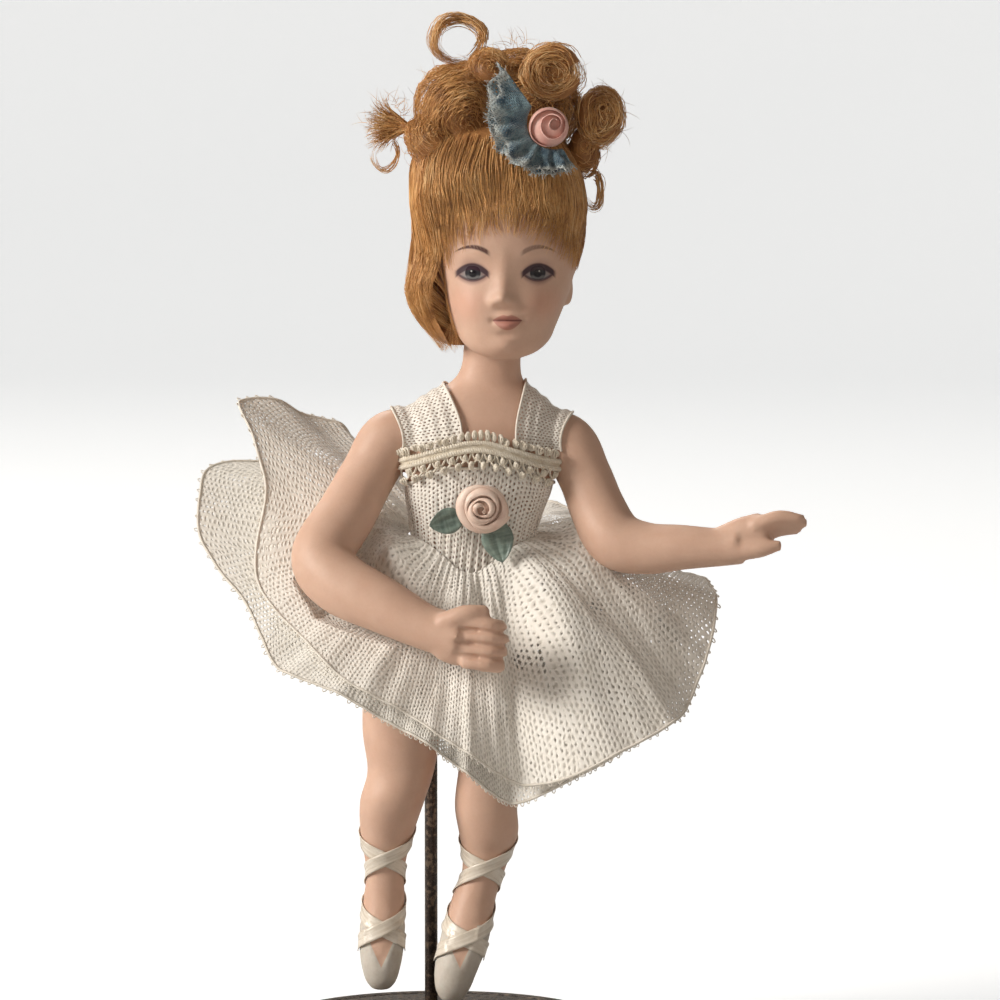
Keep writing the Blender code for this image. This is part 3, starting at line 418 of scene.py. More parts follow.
TORSO = [
    (56.5, 1.2, -4.5, 5.0, 6.0),
    (60.0, 1.0, -8.0, 8.5, 14.0),
    (69.8, 2.2, -9.8, 10.6, 16.4),
    (77.8, 4.0, -9.4, 10.0, 14.9),
    (85.8, 5.8, -8.2, 8.6, 12.3),
    (90.8, 6.4, -7.8, 7.9, 11.3),
    (95.8, 6.8, -8.2, 8.0, 12.0),
    (102.6, 7.6, -9.6, 8.6, 13.8),
    (109.8, 8.2, -9.8, 9.0, 15.0),
    (115.8, 8.2, -8.6, 8.6, 15.6),
    (119.4, 8.4, -7.2, 8.0, 14.2),
    (122.2, 8.8, -6.2, 7.4, 10.6),
    (124.6, 9.6, -5.2, 6.8, 7.2),
    (127.6, 10.2, -4.8, 6.4, 5.9),
    (132.0, 10.6, -4.8, 6.4, 5.8),
    (137.0, 11.2, -5.0, 6.6, 6.0),
]
HEAD = [
    (129.7, -11.6, -6.0, 2.6),
    (131.0, -13.3, -1.0, 6.2),
    (133.2, -14.3, 5.0, 8.8),
    (136.2, -14.8, 9.4, 10.2),
    (140.0, -14.9, 12.4, 11.8),
    (144.0, -14.5, 14.4, 13.2),
    (149.0, -14.6, 16.0, 14.4),
    (155.0, -14.9, 16.8, 14.8),
    (161.0, -13.9, 16.2, 14.5),
    (166.6, -11.3, 14.2, 12.8),
    (171.2, -7.8, 10.8, 10.0),
    (174.2, -3.8, 6.2, 5.6),
    (175.2, -1.0, 3.0, 2.2),
]
EAR_X = 13.3
EAR_Y = 2.0
EAR_Z = 143.0
EAR_RADII = (1.2, 2.2, 3.4)
RIGHT_LEG = [
    (66.0, -7.2, 0.4, 8.2),
    (54.6, -7.7, 0.0, 7.9),
    (46.4, -7.9, -0.4, 6.7),
    (40.4, -9.6, -0.8, 6.5),
    (33.8, -10.7, 0.4, 5.4),
    (28.8, -11.0, 1.0, 4.3),
    (24.8, -11.1, 1.2, 3.8),
    (20.8, -11.3, 1.4, 4.1),
    (15.8, -11.6, 0.6, 4.3),
    (10.8, -11.8, -0.8, 4.2),
    (7.2, -11.9, -1.8, 3.7),
    (4.2, -11.9, -2.4, 2.8),
    (2.6, -11.9, -2.6, 1.5),
]
LEFT_LEG = [
    (66.0, 9.0, 0.4, 8.0),
    (54.6, 10.0, 0.0, 7.2),
    (48.8, 10.2, -0.4, 6.4),
    (39.8, 9.2, -0.8, 6.3),
    (33.8, 9.7, 0.2, 6.0),
    (29.4, 9.3, 1.0, 4.9),
    (24.8, 8.4, 1.2, 4.2),
    (20.8, 6.9, 1.4, 4.4),
    (15.8, 5.7, 0.4, 4.6),
    (10.8, 4.5, -1.0, 4.6),
    (6.4, 3.2, -2.2, 4.1),
    (2.6, 2.5, -3.0, 3.2),
    (0.4, 2.3, -3.4, 1.8),
]
RIGHT_ARM = [
    (-2.0, 0.4, 112.6, 5.4),
    (-9.6, 0.0, 113.0, 5.9),
    (-14.0, -1.8, 106.6, 5.6),
    (-18.4, -6.0, 98.8, 5.9),
    (-23.2, -12.0, 90.8, 6.2),
    (-19.6, -16.4, 85.8, 6.2),
    (-11.0, -21.0, 81.8, 5.5),
    (-2.4, -24.4, 77.8, 4.5),
    (4.6, -26.4, 76.0, 4.6),
]
LEFT_ARM = [
    (16.0, 0.4, 112.8, 5.2),
    (24.8, 0.0, 112.6, 5.7),
    (28.8, -1.6, 106.0, 5.4),
    (31.6, -4.2, 99.2, 5.6),
    (35.0, -7.0, 93.6, 5.9),
    (41.0, -9.4, 92.0, 5.2),
    (48.0, -11.6, 92.4, 4.5),
    (55.6, -13.4, 92.6, 3.8),
    (59.6, -14.2, 93.2, 3.9),
]
HEAD_X = 13.0
EAR_TUCK = 0.9
FIGURE_VOXEL = 0.00058

# Face relief in steps: across from the middle, height, spread across, spread up, how far it stands out
FACE = [
    (-0.4, 147.2, 1.7, 4.2, 0.45), (-0.5, 143.9, 2.0, 2.4, 1.0), (-0.7, 141.9, 1.9, 1.35, 1.75),
    (-2.5, 141.2, 0.9, 0.9, 0.55), (1.3, 141.2, 0.9, 0.9, 0.55), (-0.4, 139.9, 1.6, 0.5, -0.25),
    (0.45, 138.5, 2.2, 0.65, 0.85), (0.45, 137.6, 2.5, 0.26, -0.5), (0.45, 136.6, 1.9, 0.9, 1.0),
    (0.4, 134.8, 2.0, 0.7, -0.45), (-2.6, 137.5, 0.6, 0.6, -0.35), (3.5, 137.5, 0.6, 0.6, -0.35),
    (0.1, 132.6, 2.6, 1.9, 0.8), (-6.4, 146.9, 3.1, 2.2, -0.9), (6.5, 146.9, 3.1, 2.2, -0.9),
    (-6.4, 146.8, 2.3, 1.3, 0.75), (6.5, 146.8, 2.3, 1.3, 0.75), (-6.2, 151.0, 3.5, 1.2, 0.2),
    (6.2, 151.0, 3.5, 1.2, 0.2), (-7.0, 139.9, 3.8, 3.8, 0.7), (7.0, 139.9, 3.8, 3.8, 0.7),
]

# Slippers in steps: middle across and middle depth of each foot, and how high the front edge sits
SLIPPERS = ((-11.8, -1.4), (4.0, -2.4))
SLIPPER_THROAT = 7.2
SLIPPER_TOP = 15.5
SLIPPER_THICKNESS = 0.00028


def oval_ring(cx, front, back, width, z, sides=72, power=0.88):
    """A level ring, egg shaped where its front and back depths differ."""
    ring = []
    for i in range(sides):
        turn = 2 * math.pi * i / sides
        across, along = math.sin(turn), -math.cos(turn)
        across = math.copysign(abs(across) ** power, across)
        along = math.copysign(abs(along) ** power, along)
        ring.append((cx + width * across, (front + back + (back - front) * along) / 2, z))
    return ring


def blob(shape, centre, radii, sides=36, rings=24):
    """Adds a closed ellipsoid."""
    rows = []
    for k in range(rings + 1):
        tilt = math.pi * (0.02 + 0.96 * k / rings)
        rows.append([
            place(
                centre[0] + radii[0] * math.sin(tilt) * math.cos(2 * math.pi * i / sides),
                centre[1] + radii[1] * math.sin(tilt) * math.sin(2 * math.pi * i / sides),
                centre[2] - radii[2] * math.cos(tilt),
            )
            for i in range(sides)
        ])
    return loft(rows, shape)


def limb(shape, stations, count, sides=48, flatness=1.0, flat_way=(0, 1, 0)):
    """Adds a tube through stations of x, y, z and radius; flatness squeezes it along flat_way."""
    count = 3 * count
    rows = [curve_through(stations, k / (count - 1)) for k in range(count)]
    centres = [Vector(row[:3]) for row in rows]
    rings = []
    for k, row in enumerate(rows):
        along = (centres[min(k + 1, count - 1)] - centres[max(k - 1, 0)]).normalized()
        across = along.cross(Vector(flat_way)).normalized()
        up = along.cross(across).normalized()
        rings.append([
            place(*(
                centres[k]
                + across * row[3] * math.cos(2 * math.pi * i / sides)
                + up * row[3] * flatness * math.sin(2 * math.pi * i / sides)
            ))
            for i in range(sides)
        ])
    return loft(rings, shape)


def head_lump(shape, rings=90):
    rows = [curve_through(HEAD, k / (rings - 1)) for k in range(rings)]
    shape = loft([
        [place(HEAD_X + x, y, z) for x, y, z in oval_ring(0.0, front, back, width, z, 96)]
        for z, front, back, width in rows
    ], shape)
    for side in (-1, 1):
        shape = blob(shape, (HEAD_X + side * (EAR_X - EAR_TUCK), EAR_Y, EAR_Z), EAR_RADII)
    return shape


def torso_lump(shape, rings=90):
    rows = [curve_through(TORSO, k / (rings - 1)) for k in range(rings)]
    return loft([
        [place(*p) for p in oval_ring(cx, front, back, width, z)]
        for z, cx, front, back, width in rows
    ], shape)


def leg_lump(shape, stations, rings=90):
    """A leg on its toe tip: its foot is deeper than it is wide at the heel."""
    rings_up = []
    for k in range(rings):
        z, cx, cy, width = curve_through(stations[::-1], k / (rings - 1))
        heel = math.exp(-(((z - 20.0) / 5.0) ** 2))
        calf = math.exp(-(((z - 33.0) / 6.0) ** 2))
        front, back = cy - width * 1.02, cy + width * (1.02 + 0.16 * heel + 0.16 * calf)
        rings_up.append([place(*p) for p in oval_ring(cx, front, back, width, z, 48, 0.94)])
    return loft(rings_up, shape)


def open_hand(shape):
    """The left hand: palm, four fingers side by side, and the thumb held low."""
    shape = limb(shape, [(55.6, -13.6, 93.0, 3.6), (60.4, -14.5, 94.6, 4.2), (64.6, -15.2, 96.4, 3.6)],
                 6, flatness=0.62)
    for k in range(4):
        depth = -17.0 + 1.1 * k
        reach = 72.6 - 0.7 * abs(k - 1.0)
        shape = limb(shape, [
            (62.0, -15.4 + 0.5 * (k - 1.5), 97.0 - 0.7 * k, 1.6),
            (67.2, depth + 0.2, 98.9 - 0.95 * k, 1.42),
            (reach, depth, 98.4 - 0.75 * k, 0.95),
        ], 6, sides=24)
    return limb(shape, [
        (58.6, -15.6, 92.2, 2.1), (63.2, -16.9, 92.6, 1.8), (67.5, -17.4, 93.4, 1.0),
    ], 6, sides=24)


def closed_hand(shape):
    """The right hand: a loose fist laid on the skirt, with the thumb above."""
    shape = blob(shape, (4.8, -26.2, 75.6), (7.2, 3.9, 5.2))
    for k in range(4):
        height = 79.4 - 2.6 * k
        shape = limb(shape, [
            (4.6, -28.6, height, 1.4),
            (10.6 - 0.3 * abs(k - 1), -29.4, height - 0.6, 1.42),
            (12.6 - 0.5 * abs(k - 1.2), -26.6, height - 1.2, 1.4),
            (8.0, -24.2, height - 1.2, 1.3),
        ], 8, sides=24)
    return limb(shape, [
        (0.8, -27.6, 79.0, 2.1), (5.4, -28.9, 81.0, 1.8), (9.8, -28.3, 81.4, 1.2),
    ], 6, sides=24)


def fused(shape, voxel, smoothing):
    """Melts overlapping closed shapes into one skin."""
    lump = put_in_scene(as_mesh(shape))
    melt = lump.modifiers.new("melt", "REMESH")
    melt.mode = "VOXEL"
    melt.voxel_size = voxel
    soften = lump.modifiers.new("soften", "SMOOTH")
    soften.factor = 0.5
    soften.iterations = smoothing
    return evaluated(lump)


def coordinates(mesh):
    """The mesh's points as rows of numbers."""
    points = numpy.empty(3 * len(mesh.vertices))
    mesh.vertices.foreach_get("co", points)
    return points.reshape(-1, 3)


def slipper_top(across, depth):
    """The height of a slipper's edge, low in a V on the instep and high at the heel."""
    rise = 2.1 * abs(across) + 2.6 * numpy.maximum(depth + 2.2, 0.0)
    return numpy.minimum(SLIPPER_THROAT + rise, SLIPPER_TOP)


def on_fist(x, y, z):
    """Whether a place in steps is on the fingers of the right hand, as true or false."""
    return (x > 2.0) & (x < 15.0) & (y < -25.0) & (z > 68.0) & (z < 83.0)


FIST_FIRST_LINE = 78.1
FINGER_SPACING = 2.6

shape = torso_lump(None)
shape = head_lump(shape)
shape = leg_lump(shape, RIGHT_LEG)
shape = leg_lump(shape, LEFT_LEG)
shape = limb(shape, RIGHT_ARM, 24)
shape = limb(shape, LEFT_ARM, 24)
shape = open_hand(shape)
shape = closed_hand(shape)
doll_mesh = fused(shape, FIGURE_VOXEL, 3)

shape = bmesh.new()
shape.from_mesh(doll_mesh)
face_low, face_high = place(0, 0, 130.5).z, place(0, 0, 154.0).z
front_edges = [
    e for e in shape.edges
    if all(face_low < v.co.z < face_high and v.co.y < -7.0 * STEP for v in e.verts)
]
front_edges += [
    e for e in shape.edges
    if all(on_fist(v.co.x / STEP, v.co.y / STEP, (v.co.z - TOE_HEIGHT) / STEP) for v in e.verts)
]
bmesh.ops.subdivide_edges(shape, edges=front_edges, cuts=1, use_grid_fill=True)
shape.to_mesh(doll_mesh)
shape.free()

points = coordinates(doll_mesh)
across = points[:, 0] / STEP - HEAD_X
depth = points[:, 1] / STEP
height = (points[:, 2] - TOE_HEIGHT) / STEP
toward = numpy.clip((-depth - 2) / 6, 0.0, 1.0) * (height > 128.0)
toward = toward * toward * (3 - 2 * toward)
for x, z, wide, tall, push in FACE:
    bulge = push * numpy.exp(-(((across - x) / wide) ** 2) - ((height - z) / tall) ** 2)
    points[:, 1] -= toward * bulge * STEP
normals = numpy.empty(3 * len(doll_mesh.vertices))
doll_mesh.vertices.foreach_get("normal", normals)
normals = normals.reshape(-1, 3)
for middle, depth_middle in SLIPPERS:
    aside = points[:, 0] / STEP - middle
    inside = slipper_top(aside, depth - depth_middle) - height
    inside = numpy.clip(inside / 0.7 + 0.5, 0.0, 1.0) * (abs(aside) < 7.5)
    points += normals * (inside * SLIPPER_THICKNESS)[:, None]
across, depth = points[:, 0] / STEP, points[:, 1] / STEP
for k in range(3):
    line = FIST_FIRST_LINE - FINGER_SPACING * k - 0.10 * (across - 4.6)
    crease = numpy.exp(-(((height - line) / 0.42) ** 2)) * on_fist(across, depth, height)
    points -= normals * (crease * numpy.clip((across - 2.0) / 4.0, 0.0, 1.0) * 0.62 * STEP)[:, None]
doll_mesh.vertices.foreach_set("co", points.ravel())
doll_mesh.update()


def tree_of(mesh):
    return BVHTree.FromPolygons(
        [v.co.copy() for v in mesh.vertices], [tuple(p.vertices) for p in mesh.polygons]
    )


figure_skin = tree_of(doll_mesh)
torso_skin = tree_of(as_mesh(torso_lump(None)))

# The painting of one eye with its brow and the shade painted round it, on X, outward from the eye's middle, and Z, up,
# in steps
EYE_REACH = 3.1
LID_RISE = 1.5
LID_DROP = 1.35
IRIS_RADIUS = 1.6
PUPIL_RADIUS = 0.8
eye, given, result = node_group(
    "painted_eye", (("X", "Float"), ("Z", "Float")),
    tuple((title, "Float") for title in ("White", "Iris", "Pupil", "Crescent", "Glint", "Line", "Brow", "Shadow")),
)
x, z = given["X"], given["Z"]
bow = calc(eye, "SUBTRACT", 1.0, calc(eye, "POWER", calc(eye, "ABSOLUTE", calc(eye, "DIVIDE", x, EYE_REACH)), 2.0))
upper = calc(eye, "SUBTRACT", calc(eye, "MULTIPLY", bow, LID_RISE), z)
lower = calc(eye, "ADD", calc(eye, "MULTIPLY", bow, LID_DROP), z)
white = calc(eye, "MULTIPLY", ramp(eye, upper, -0.06, 0.10), ramp(eye, lower, -0.06, 0.10))
# The whites fade out towards the corners, so that the painted shade round the eye shows there.
corner = ramp(eye, calc(eye, "ABSOLUTE", x), 2.9, 1.5, 0.10, 1.0)
eye.links.new(calc(eye, "MULTIPLY", white, corner), result["White"])


def distance(tree, x, z, across=0.0, up=0.0):
    """How far a point is from a middle."""
    squares = [calc(tree, "POWER", calc(tree, "SUBTRACT", a, b), 2.0) for a, b in ((x, across), (z, up))]
    return calc(tree, "SQRT", calc(tree, "ADD", *squares))


away = distance(eye, x, z, -0.1, 0.1)
for title, inner, outer in (("Iris", IRIS_RADIUS - 0.15, IRIS_RADIUS + 0.05),
                            ("Pupil", PUPIL_RADIUS - 0.2, PUPIL_RADIUS + 0.08)):
    eye.links.new(calc(eye, "MULTIPLY", white, ramp(eye, away, outer, inner)), result[title])
crescent = calc(eye, "MULTIPLY", ramp(eye, away, 0.75, 1.05), ramp(eye, z, -0.15, -0.75))
eye.links.new(calc(eye, "MULTIPLY", white, crescent), result["Crescent"])
glint = ramp(eye, distance(eye, x, z, 0.2, 0.45), 0.24, 0.06)
eye.links.new(calc(eye, "MULTIPLY", white, glint), result["Glint"])
near_eye = ramp(eye, calc(eye, "ABSOLUTE", x), EYE_REACH + 0.55, EYE_REACH - 0.25)
lid_line = ramp(eye, calc(eye, "ABSOLUTE", calc(eye, "SUBTRACT", upper, 0.12)), 0.86, 0.42)
lash_line = calc(eye, "MULTIPLY", ramp(eye, calc(eye, "ABSOLUTE", lower), 0.42, 0.12), 0.75)
line = calc(eye, "MULTIPLY", near_eye, calc(eye, "MAXIMUM", lid_line, lash_line))
eye.links.new(line, result["Line"])
# Shadow: painted shade on the lid above the eye, over the eye and in a band round its outline, fading out past the
# corners.
crease = ramp(eye, distance(eye, x, calc(eye, "MULTIPLY", z, 1.5), 0.5, 2.2), 3.2, 0.4)
outside = calc(eye, "MAXIMUM", calc(eye, "MULTIPLY", upper, -1.0), calc(eye, "MULTIPLY", lower, -1.0))
shade_round_eye = calc(eye, "MULTIPLY", ramp(eye, outside, 1.35, 0.0), ramp(eye, calc(eye, "ABSOLUTE", x), 4.4, 2.4))
eye.links.new(calc(eye, "MAXIMUM", calc(eye, "MULTIPLY", crease, 0.5), shade_round_eye), result["Shadow"])
arch = calc(eye, "MULTIPLY", calc(eye, "POWER", calc(eye, "SUBTRACT", x, 0.2), 2.0), -0.10)
over = calc(eye, "ABSOLUTE", calc(eye, "SUBTRACT", calc(eye, "SUBTRACT", z, 5.25), arch))
thickness = ramp(eye, x, 4.0, -2.6, 0.20, 0.66)
strokes = node(eye, "ShaderNodeCombineXYZ", {
    0: calc(eye, "MULTIPLY_ADD", z, -1.6, calc(eye, "MULTIPLY", x, 3.4)), 1: calc(eye, "MULTIPLY", z, 0.8),
})
strokes = node(eye, "ShaderNodeTexNoise", {"Vector": strokes.outputs[0], "Scale": 1.0, "Detail": 2.0})
brow = ramp(eye, calc(eye, "DIVIDE", over, thickness), 1.15, 0.35)
ends = calc(eye, "MULTIPLY", ramp(eye, x, -3.8, -2.7), ramp(eye, x, 4.0, 2.4))
brow = calc(eye, "MULTIPLY", calc(eye, "MULTIPLY", brow, ends), ramp(eye, strokes.outputs["Fac"], 0.25, 0.5, 0.72, 1.0))
eye.links.new(brow, result["Brow"])

bisque, tree, shader = material("painted_bisque", {
    "Roughness": 0.5, "Specular IOR Level": 0.35, "Subsurface Weight": 0.12, "Subsurface Scale": 0.0015,
    "Subsurface Radius": (1.0, 0.5, 0.3),
})
SKIN = (0.69, 0.465, 0.352)
SKIN_DEEP = (0.61, 0.385, 0.284)
BLUSH = (0.66, 0.29, 0.20)
EYE_LEVEL = 146.8
MOUTH = (0.45, 137.6)

# Middle of each eye across, which way is outward, and how strongly its brow is painted
EYES = ((-6.45, -1, 1.0), (6.55, 1, 0.62))
grain = mottled(tree, 260.0, 1.3)
colour = tinted(tree, grain["Tone"], SKIN_DEEP, SKIN)
spot = node(tree, "ShaderNodeSeparateXYZ", {0: node(tree, "ShaderNodeTexCoord").outputs["Object"]}).outputs
face_x = calc(tree, "SUBTRACT", calc(tree, "DIVIDE", spot["X"], STEP), HEAD_X)
face_z = calc(tree, "DIVIDE", calc(tree, "SUBTRACT", spot["Z"], TOE_HEIGHT), STEP)
face_y = calc(tree, "DIVIDE", spot["Y"], STEP)
front = ramp(tree, face_y, -5.0, -8.0)
cheeks = [distance(tree, face_x, face_z, side * 7.6, 140.8) for side in (-1, 1)]
blush = calc(tree, "MULTIPLY", ramp(tree, calc(tree, "MINIMUM", *cheeks), 5.2, 0.5), front)
colour = tinted(tree, calc(tree, "MULTIPLY", blush, 0.34), colour, BLUSH)
painted = {}
for middle, side, brow_strength in EYES:
    made = node(tree, "ShaderNodeGroup", node_tree=eye)
    out = calc(tree, "MULTIPLY", calc(tree, "SUBTRACT", face_x, middle), side)
    tree.links.new(out, made.inputs["X"])
    tree.links.new(calc(tree, "SUBTRACT", face_z, EYE_LEVEL), made.inputs["Z"])
    for socket in made.outputs:
        mask = calc(tree, "MULTIPLY", socket, brow_strength) if socket.name == "Brow" else socket
        other = painted.get(socket.name)
        painted[socket.name] = calc(tree, "MAXIMUM", other, mask) if other else mask
lip_x = calc(tree, "SUBTRACT", face_x, MOUTH[0])
lip_z = calc(tree, "SUBTRACT", face_z, MOUTH[1])
lip_bow = calc(tree, "SUBTRACT", 1.0, calc(tree, "POWER", calc(tree, "DIVIDE", calc(tree, "ABSOLUTE", lip_x), 2.95), 2.0))
dip = ramp(tree, calc(tree, "ABSOLUTE", lip_x), 0.0, 0.9, 0.26, 0.0)
upper_lip = calc(tree, "SUBTRACT", calc(tree, "SUBTRACT", calc(tree, "MULTIPLY", lip_bow, 1.25), dip), lip_z)
lower_lip = calc(tree, "ADD", calc(tree, "MULTIPLY", lip_bow, 1.95), lip_z)
lips = calc(tree, "MULTIPLY", ramp(tree, upper_lip, -0.1, 0.2), ramp(tree, lower_lip, -0.1, 0.2))
parting = calc(tree, "MULTIPLY", ramp(tree, calc(tree, "ABSOLUTE", lip_z), 0.26, 0.05), lips)
# The painted shade round the eyes goes on first, under the whites and the rest of the eye.
for mask, strength, paint in (
    (painted["Shadow"], 0.74, (0.200, 0.092, 0.098)), (painted["White"], 1.0, (0.27, 0.225, 0.215)),
    (painted["Iris"], 1.0, (0.026, 0.025, 0.030)), (painted["Crescent"], 0.66, (0.24, 0.23, 0.225)),
    (painted["Pupil"], 1.0, (0.008, 0.006, 0.009)), (painted["Glint"], 0.8, (0.60, 0.58, 0.56)),
    (painted["Line"], 0.94, (0.040, 0.017, 0.026)), (painted["Brow"], 0.94, (0.075, 0.028, 0.025)),
    (lips, 0.80, (0.43, 0.165, 0.130)), (parting, 0.75, (0.16, 0.05, 0.045)),
):
    share = calc(tree, "MULTIPLY", calc(tree, "MULTIPLY", mask, front), strength)
    colour = tinted(tree, share, colour, paint)
worn_white = tinted(tree, grain["Tone"], (0.50, 0.44, 0.37), (0.70, 0.66, 0.60))
raw_x = calc(tree, "DIVIDE", spot["X"], STEP)
shod = None
for middle, depth_middle in SLIPPERS:
    aside = calc(tree, "ABSOLUTE", calc(tree, "SUBTRACT", raw_x, middle))
    back = calc(tree, "MAXIMUM", calc(tree, "ADD", calc(tree, "SUBTRACT", face_y, depth_middle), 2.2), 0.0)
    rise = calc(tree, "ADD", calc(tree, "MULTIPLY", aside, 2.1), calc(tree, "MULTIPLY", back, 2.6))
    top = calc(tree, "MINIMUM", calc(tree, "ADD", rise, SLIPPER_THROAT), SLIPPER_TOP)
    inside = calc(tree, "MULTIPLY", ramp(tree, calc(tree, "SUBTRACT", top, face_z), -0.15, 0.15), ramp(tree, aside, 7.6, 7.4))
    shod = calc(tree, "MAXIMUM", shod, inside) if shod else inside
colour = tinted(tree, shod, colour, worn_white)
tree.links.new(colour, shader.inputs["Base Color"])
glossy = calc(tree, "MAXIMUM", painted["Pupil"], painted["Iris"])
tree.links.new(ramp(tree, calc(tree, "MULTIPLY", glossy, front), 0.0, 1.0, 0.5, 0.2), shader.inputs["Roughness"])
relief(tree, shader, grain["Height"], 0.00004, 0.6)

doll = piece("bisque_doll", doll_mesh, bisque, "bisque", "figure")

# The wire of the clip, bent round the hips once these are there


def skin_point(skin, start, direction, lift):
    """A point lifted off a skin, found from inside the body."""
    hit = skin.ray_cast(start, direction)[0]
    if hit is None:
        raise ValueError(f"nothing to wrap at {tuple(start)}")
    return hit + direction * lift
def torso_axis(z):
    """The middle of the torso at a height, in steps."""
    heights = [row[0] for row in TORSO]
    i = max(k for k in range(len(TORSO) - 1) if heights[k] <= z)
    f = (z - heights[i]) / (heights[i + 1] - heights[i])
    low, high = TORSO[i], TORSO[i + 1]
    middle = [(row[2] + row[3]) / 2 for row in (low, high)]
    return low[1] + f * (high[1] - low[1]), middle[0] + f * (middle[1] - middle[0])
def facing(azimuth):
    """A level direction: 0 degrees is to the front and 90 to the right."""
    turn = math.radians(azimuth)
    return Vector((math.sin(turn), -math.cos(turn), 0.0))
def on_torso(azimuth, z, lift):
    cx, cy = torso_axis(z)
    return skin_point(torso_skin, place(cx, cy, z), facing(azimuth), lift)


clip_height = (clip_low.z + clip_high.z) / 2
clip_step = (clip_height - TOE_HEIGHT) / STEP
wire_path = [
    on_torso(CLIP_OPENING / 2 + (360 - CLIP_OPENING) * i / 80, clip_step, CLIP_WIRE_RADIUS + 0.0006)
    for i in range(81)
]
wire = corded([(wire_path, CLIP_WIRE_RADIUS, 0.5)], 16, lacquer)
shape = bmesh.new()
shape.from_mesh(wire)
sleeve = [
    (SLEEVE_RADIUS - 0.0006, clip_low.z), (SLEEVE_RADIUS, clip_low.z + 0.0004),
    (SLEEVE_RADIUS, clip_high.z - 0.0004), (SLEEVE_RADIUS - 0.0006, clip_high.z),
    (ROD_RADIUS + 0.0002, clip_high.z), (ROD_RADIUS + 0.0002, clip_low.z),
]
rings = [circle(radius, z, 32, ROD_MIDDLE) for radius, z in sleeve]
loft(rings + rings[:1], shape, ends=False)
bmesh.ops.remove_doubles(shape, verts=shape.verts[:], dist=1e-7)
clip = piece("sprung_clip", as_mesh(shape), lacquer, "dark_metal", "stand_clip")

# The leg ribbons
# Narrow satin ribbon, two lengths to each leg, sewn to the slipper's sides, crossed in front and
# wound up the calf.

RIBBON_WIDTH = 0.0030
RIBBON_THICKNESS = 0.00016
RIBBON_PITCH = 0.0140
RIBBON_LIFT = 0.00022
RIBBON_LAP = 0.0003


def leg_axis(stations, z):
    """The middle of a leg at a height, in steps."""
    rows = stations[::-1]
    i = max(k for k in range(len(rows) - 1) if rows[k][0] <= z)
    f = (z - rows[i][0]) / (rows[i + 1][0] - rows[i][0])
    return [rows[i][c] + f * (rows[i + 1][c] - rows[i][c]) for c in (1, 2)]


def sheet_of(rows, size, closed=False, gores=1, narrowing=0.0):
    """
    A sheet through rows of points, with a UV map that measures the flat cloth in metres; gores are
    cut narrower towards the last row by a share.
    """
    shape = bmesh.new()
    flat = shape.loops.layers.uv.new("flat")
    verts = [[shape.verts.new(p) for p in row] for row in rows]
    columns = len(rows[0]) - (0 if closed else 1)
    for k in range(len(rows) - 1):
        for i in range(columns):
            corners = ((k, i), (k, i + 1), (k + 1, i + 1), (k + 1, i))
            face = shape.faces.new([verts[r][c % len(rows[0])] for r, c in corners])
            middle = (math.floor(gores * i / columns) + 0.5) / gores
            for loop, (r, c) in zip(face.loops, corners):
                up = r / (len(rows) - 1)
                across = middle + (c / columns - middle) * (1 - narrowing * up)
                loop[flat].uv = (size[0] * across, size[1] * up)
    return as_mesh(shape)


def thickened(mesh, thickness, side=0.0):
    holder = put_in_scene(mesh)
    wall = holder.modifiers.new("wall", "SOLIDIFY")
    wall.thickness = thickness
    wall.offset = side
    return evaluated(holder)


def joined(*meshes):
    """Several meshes as one."""
    shape = bmesh.new()
    for mesh in meshes:
        shape.from_mesh(mesh)
    return as_mesh(shape)


weave, given, result = node_group(
    "satin_weave", (("Vector", "Vector"), ("Threads", "Float")), (("Height", "Float"), ("Tone", "Float")),
)
fine_way = node(weave, "ShaderNodeVectorMath", {0: given["Vector"], 3: given["Threads"]}, operation="SCALE")
stretched = node(weave, "ShaderNodeVectorMath", {0: fine_way.outputs[0], 1: (0.07, 1.0, 1.0)}, operation="MULTIPLY")
threads = node(weave, "ShaderNodeTexNoise", {"Vector": stretched.outputs[0], "Scale": 1.0, "Detail": 2.0})
# Tone: lighter and darker streaks along the ribbon, a painted sheen, which also set its roughness.
sheen_streaks = node(weave, "ShaderNodeTexNoise", {"Vector": stretched.outputs[0], "Scale": 0.15, "Detail": 2.0})
weave.links.new(threads.outputs["Fac"], result["Height"])
weave.links.new(ramp(weave, sheen_streaks.outputs["Fac"], 0.3, 0.7), result["Tone"])


def satin(name, dark, light, gloss, threads=9000.0):
    """Woven satin: long smooth threads that catch the light along the ribbon."""
    look, tree, shader = material(name, {
        "Sheen Weight": 0.25, "Sheen Roughness": 0.3, "Specular IOR Level": 0.6,
    })
    made = node(tree, "ShaderNodeGroup", node_tree=weave)
    tree.links.new(node(tree, "ShaderNodeTexCoord").outputs["UV"], made.inputs["Vector"])
    made.inputs["Threads"].default_value = threads
    uneven = mottled(tree, 420.0, 2.0)
    # The colour mixes the weave's painted sheen streaks with an uneven tone.
    share = calc(tree, "ADD", calc(tree, "MULTIPLY", made.outputs["Tone"], 0.4),
                 calc(tree, "MULTIPLY", uneven["Tone"], 0.6))
    tree.links.new(tinted(tree, share, dark, light), shader.inputs["Base Color"])
    tree.links.new(ramp(tree, made.outputs["Tone"], 0.0, 1.0, gloss, gloss + 0.14), shader.inputs["Roughness"])
    relief(tree, shader, made.outputs["Height"], 0.00005, 0.8)
    return look


ivory_satin = satin("ivory_satin_ribbon", (0.66, 0.57, 0.46), (0.84, 0.78, 0.69), 0.24)

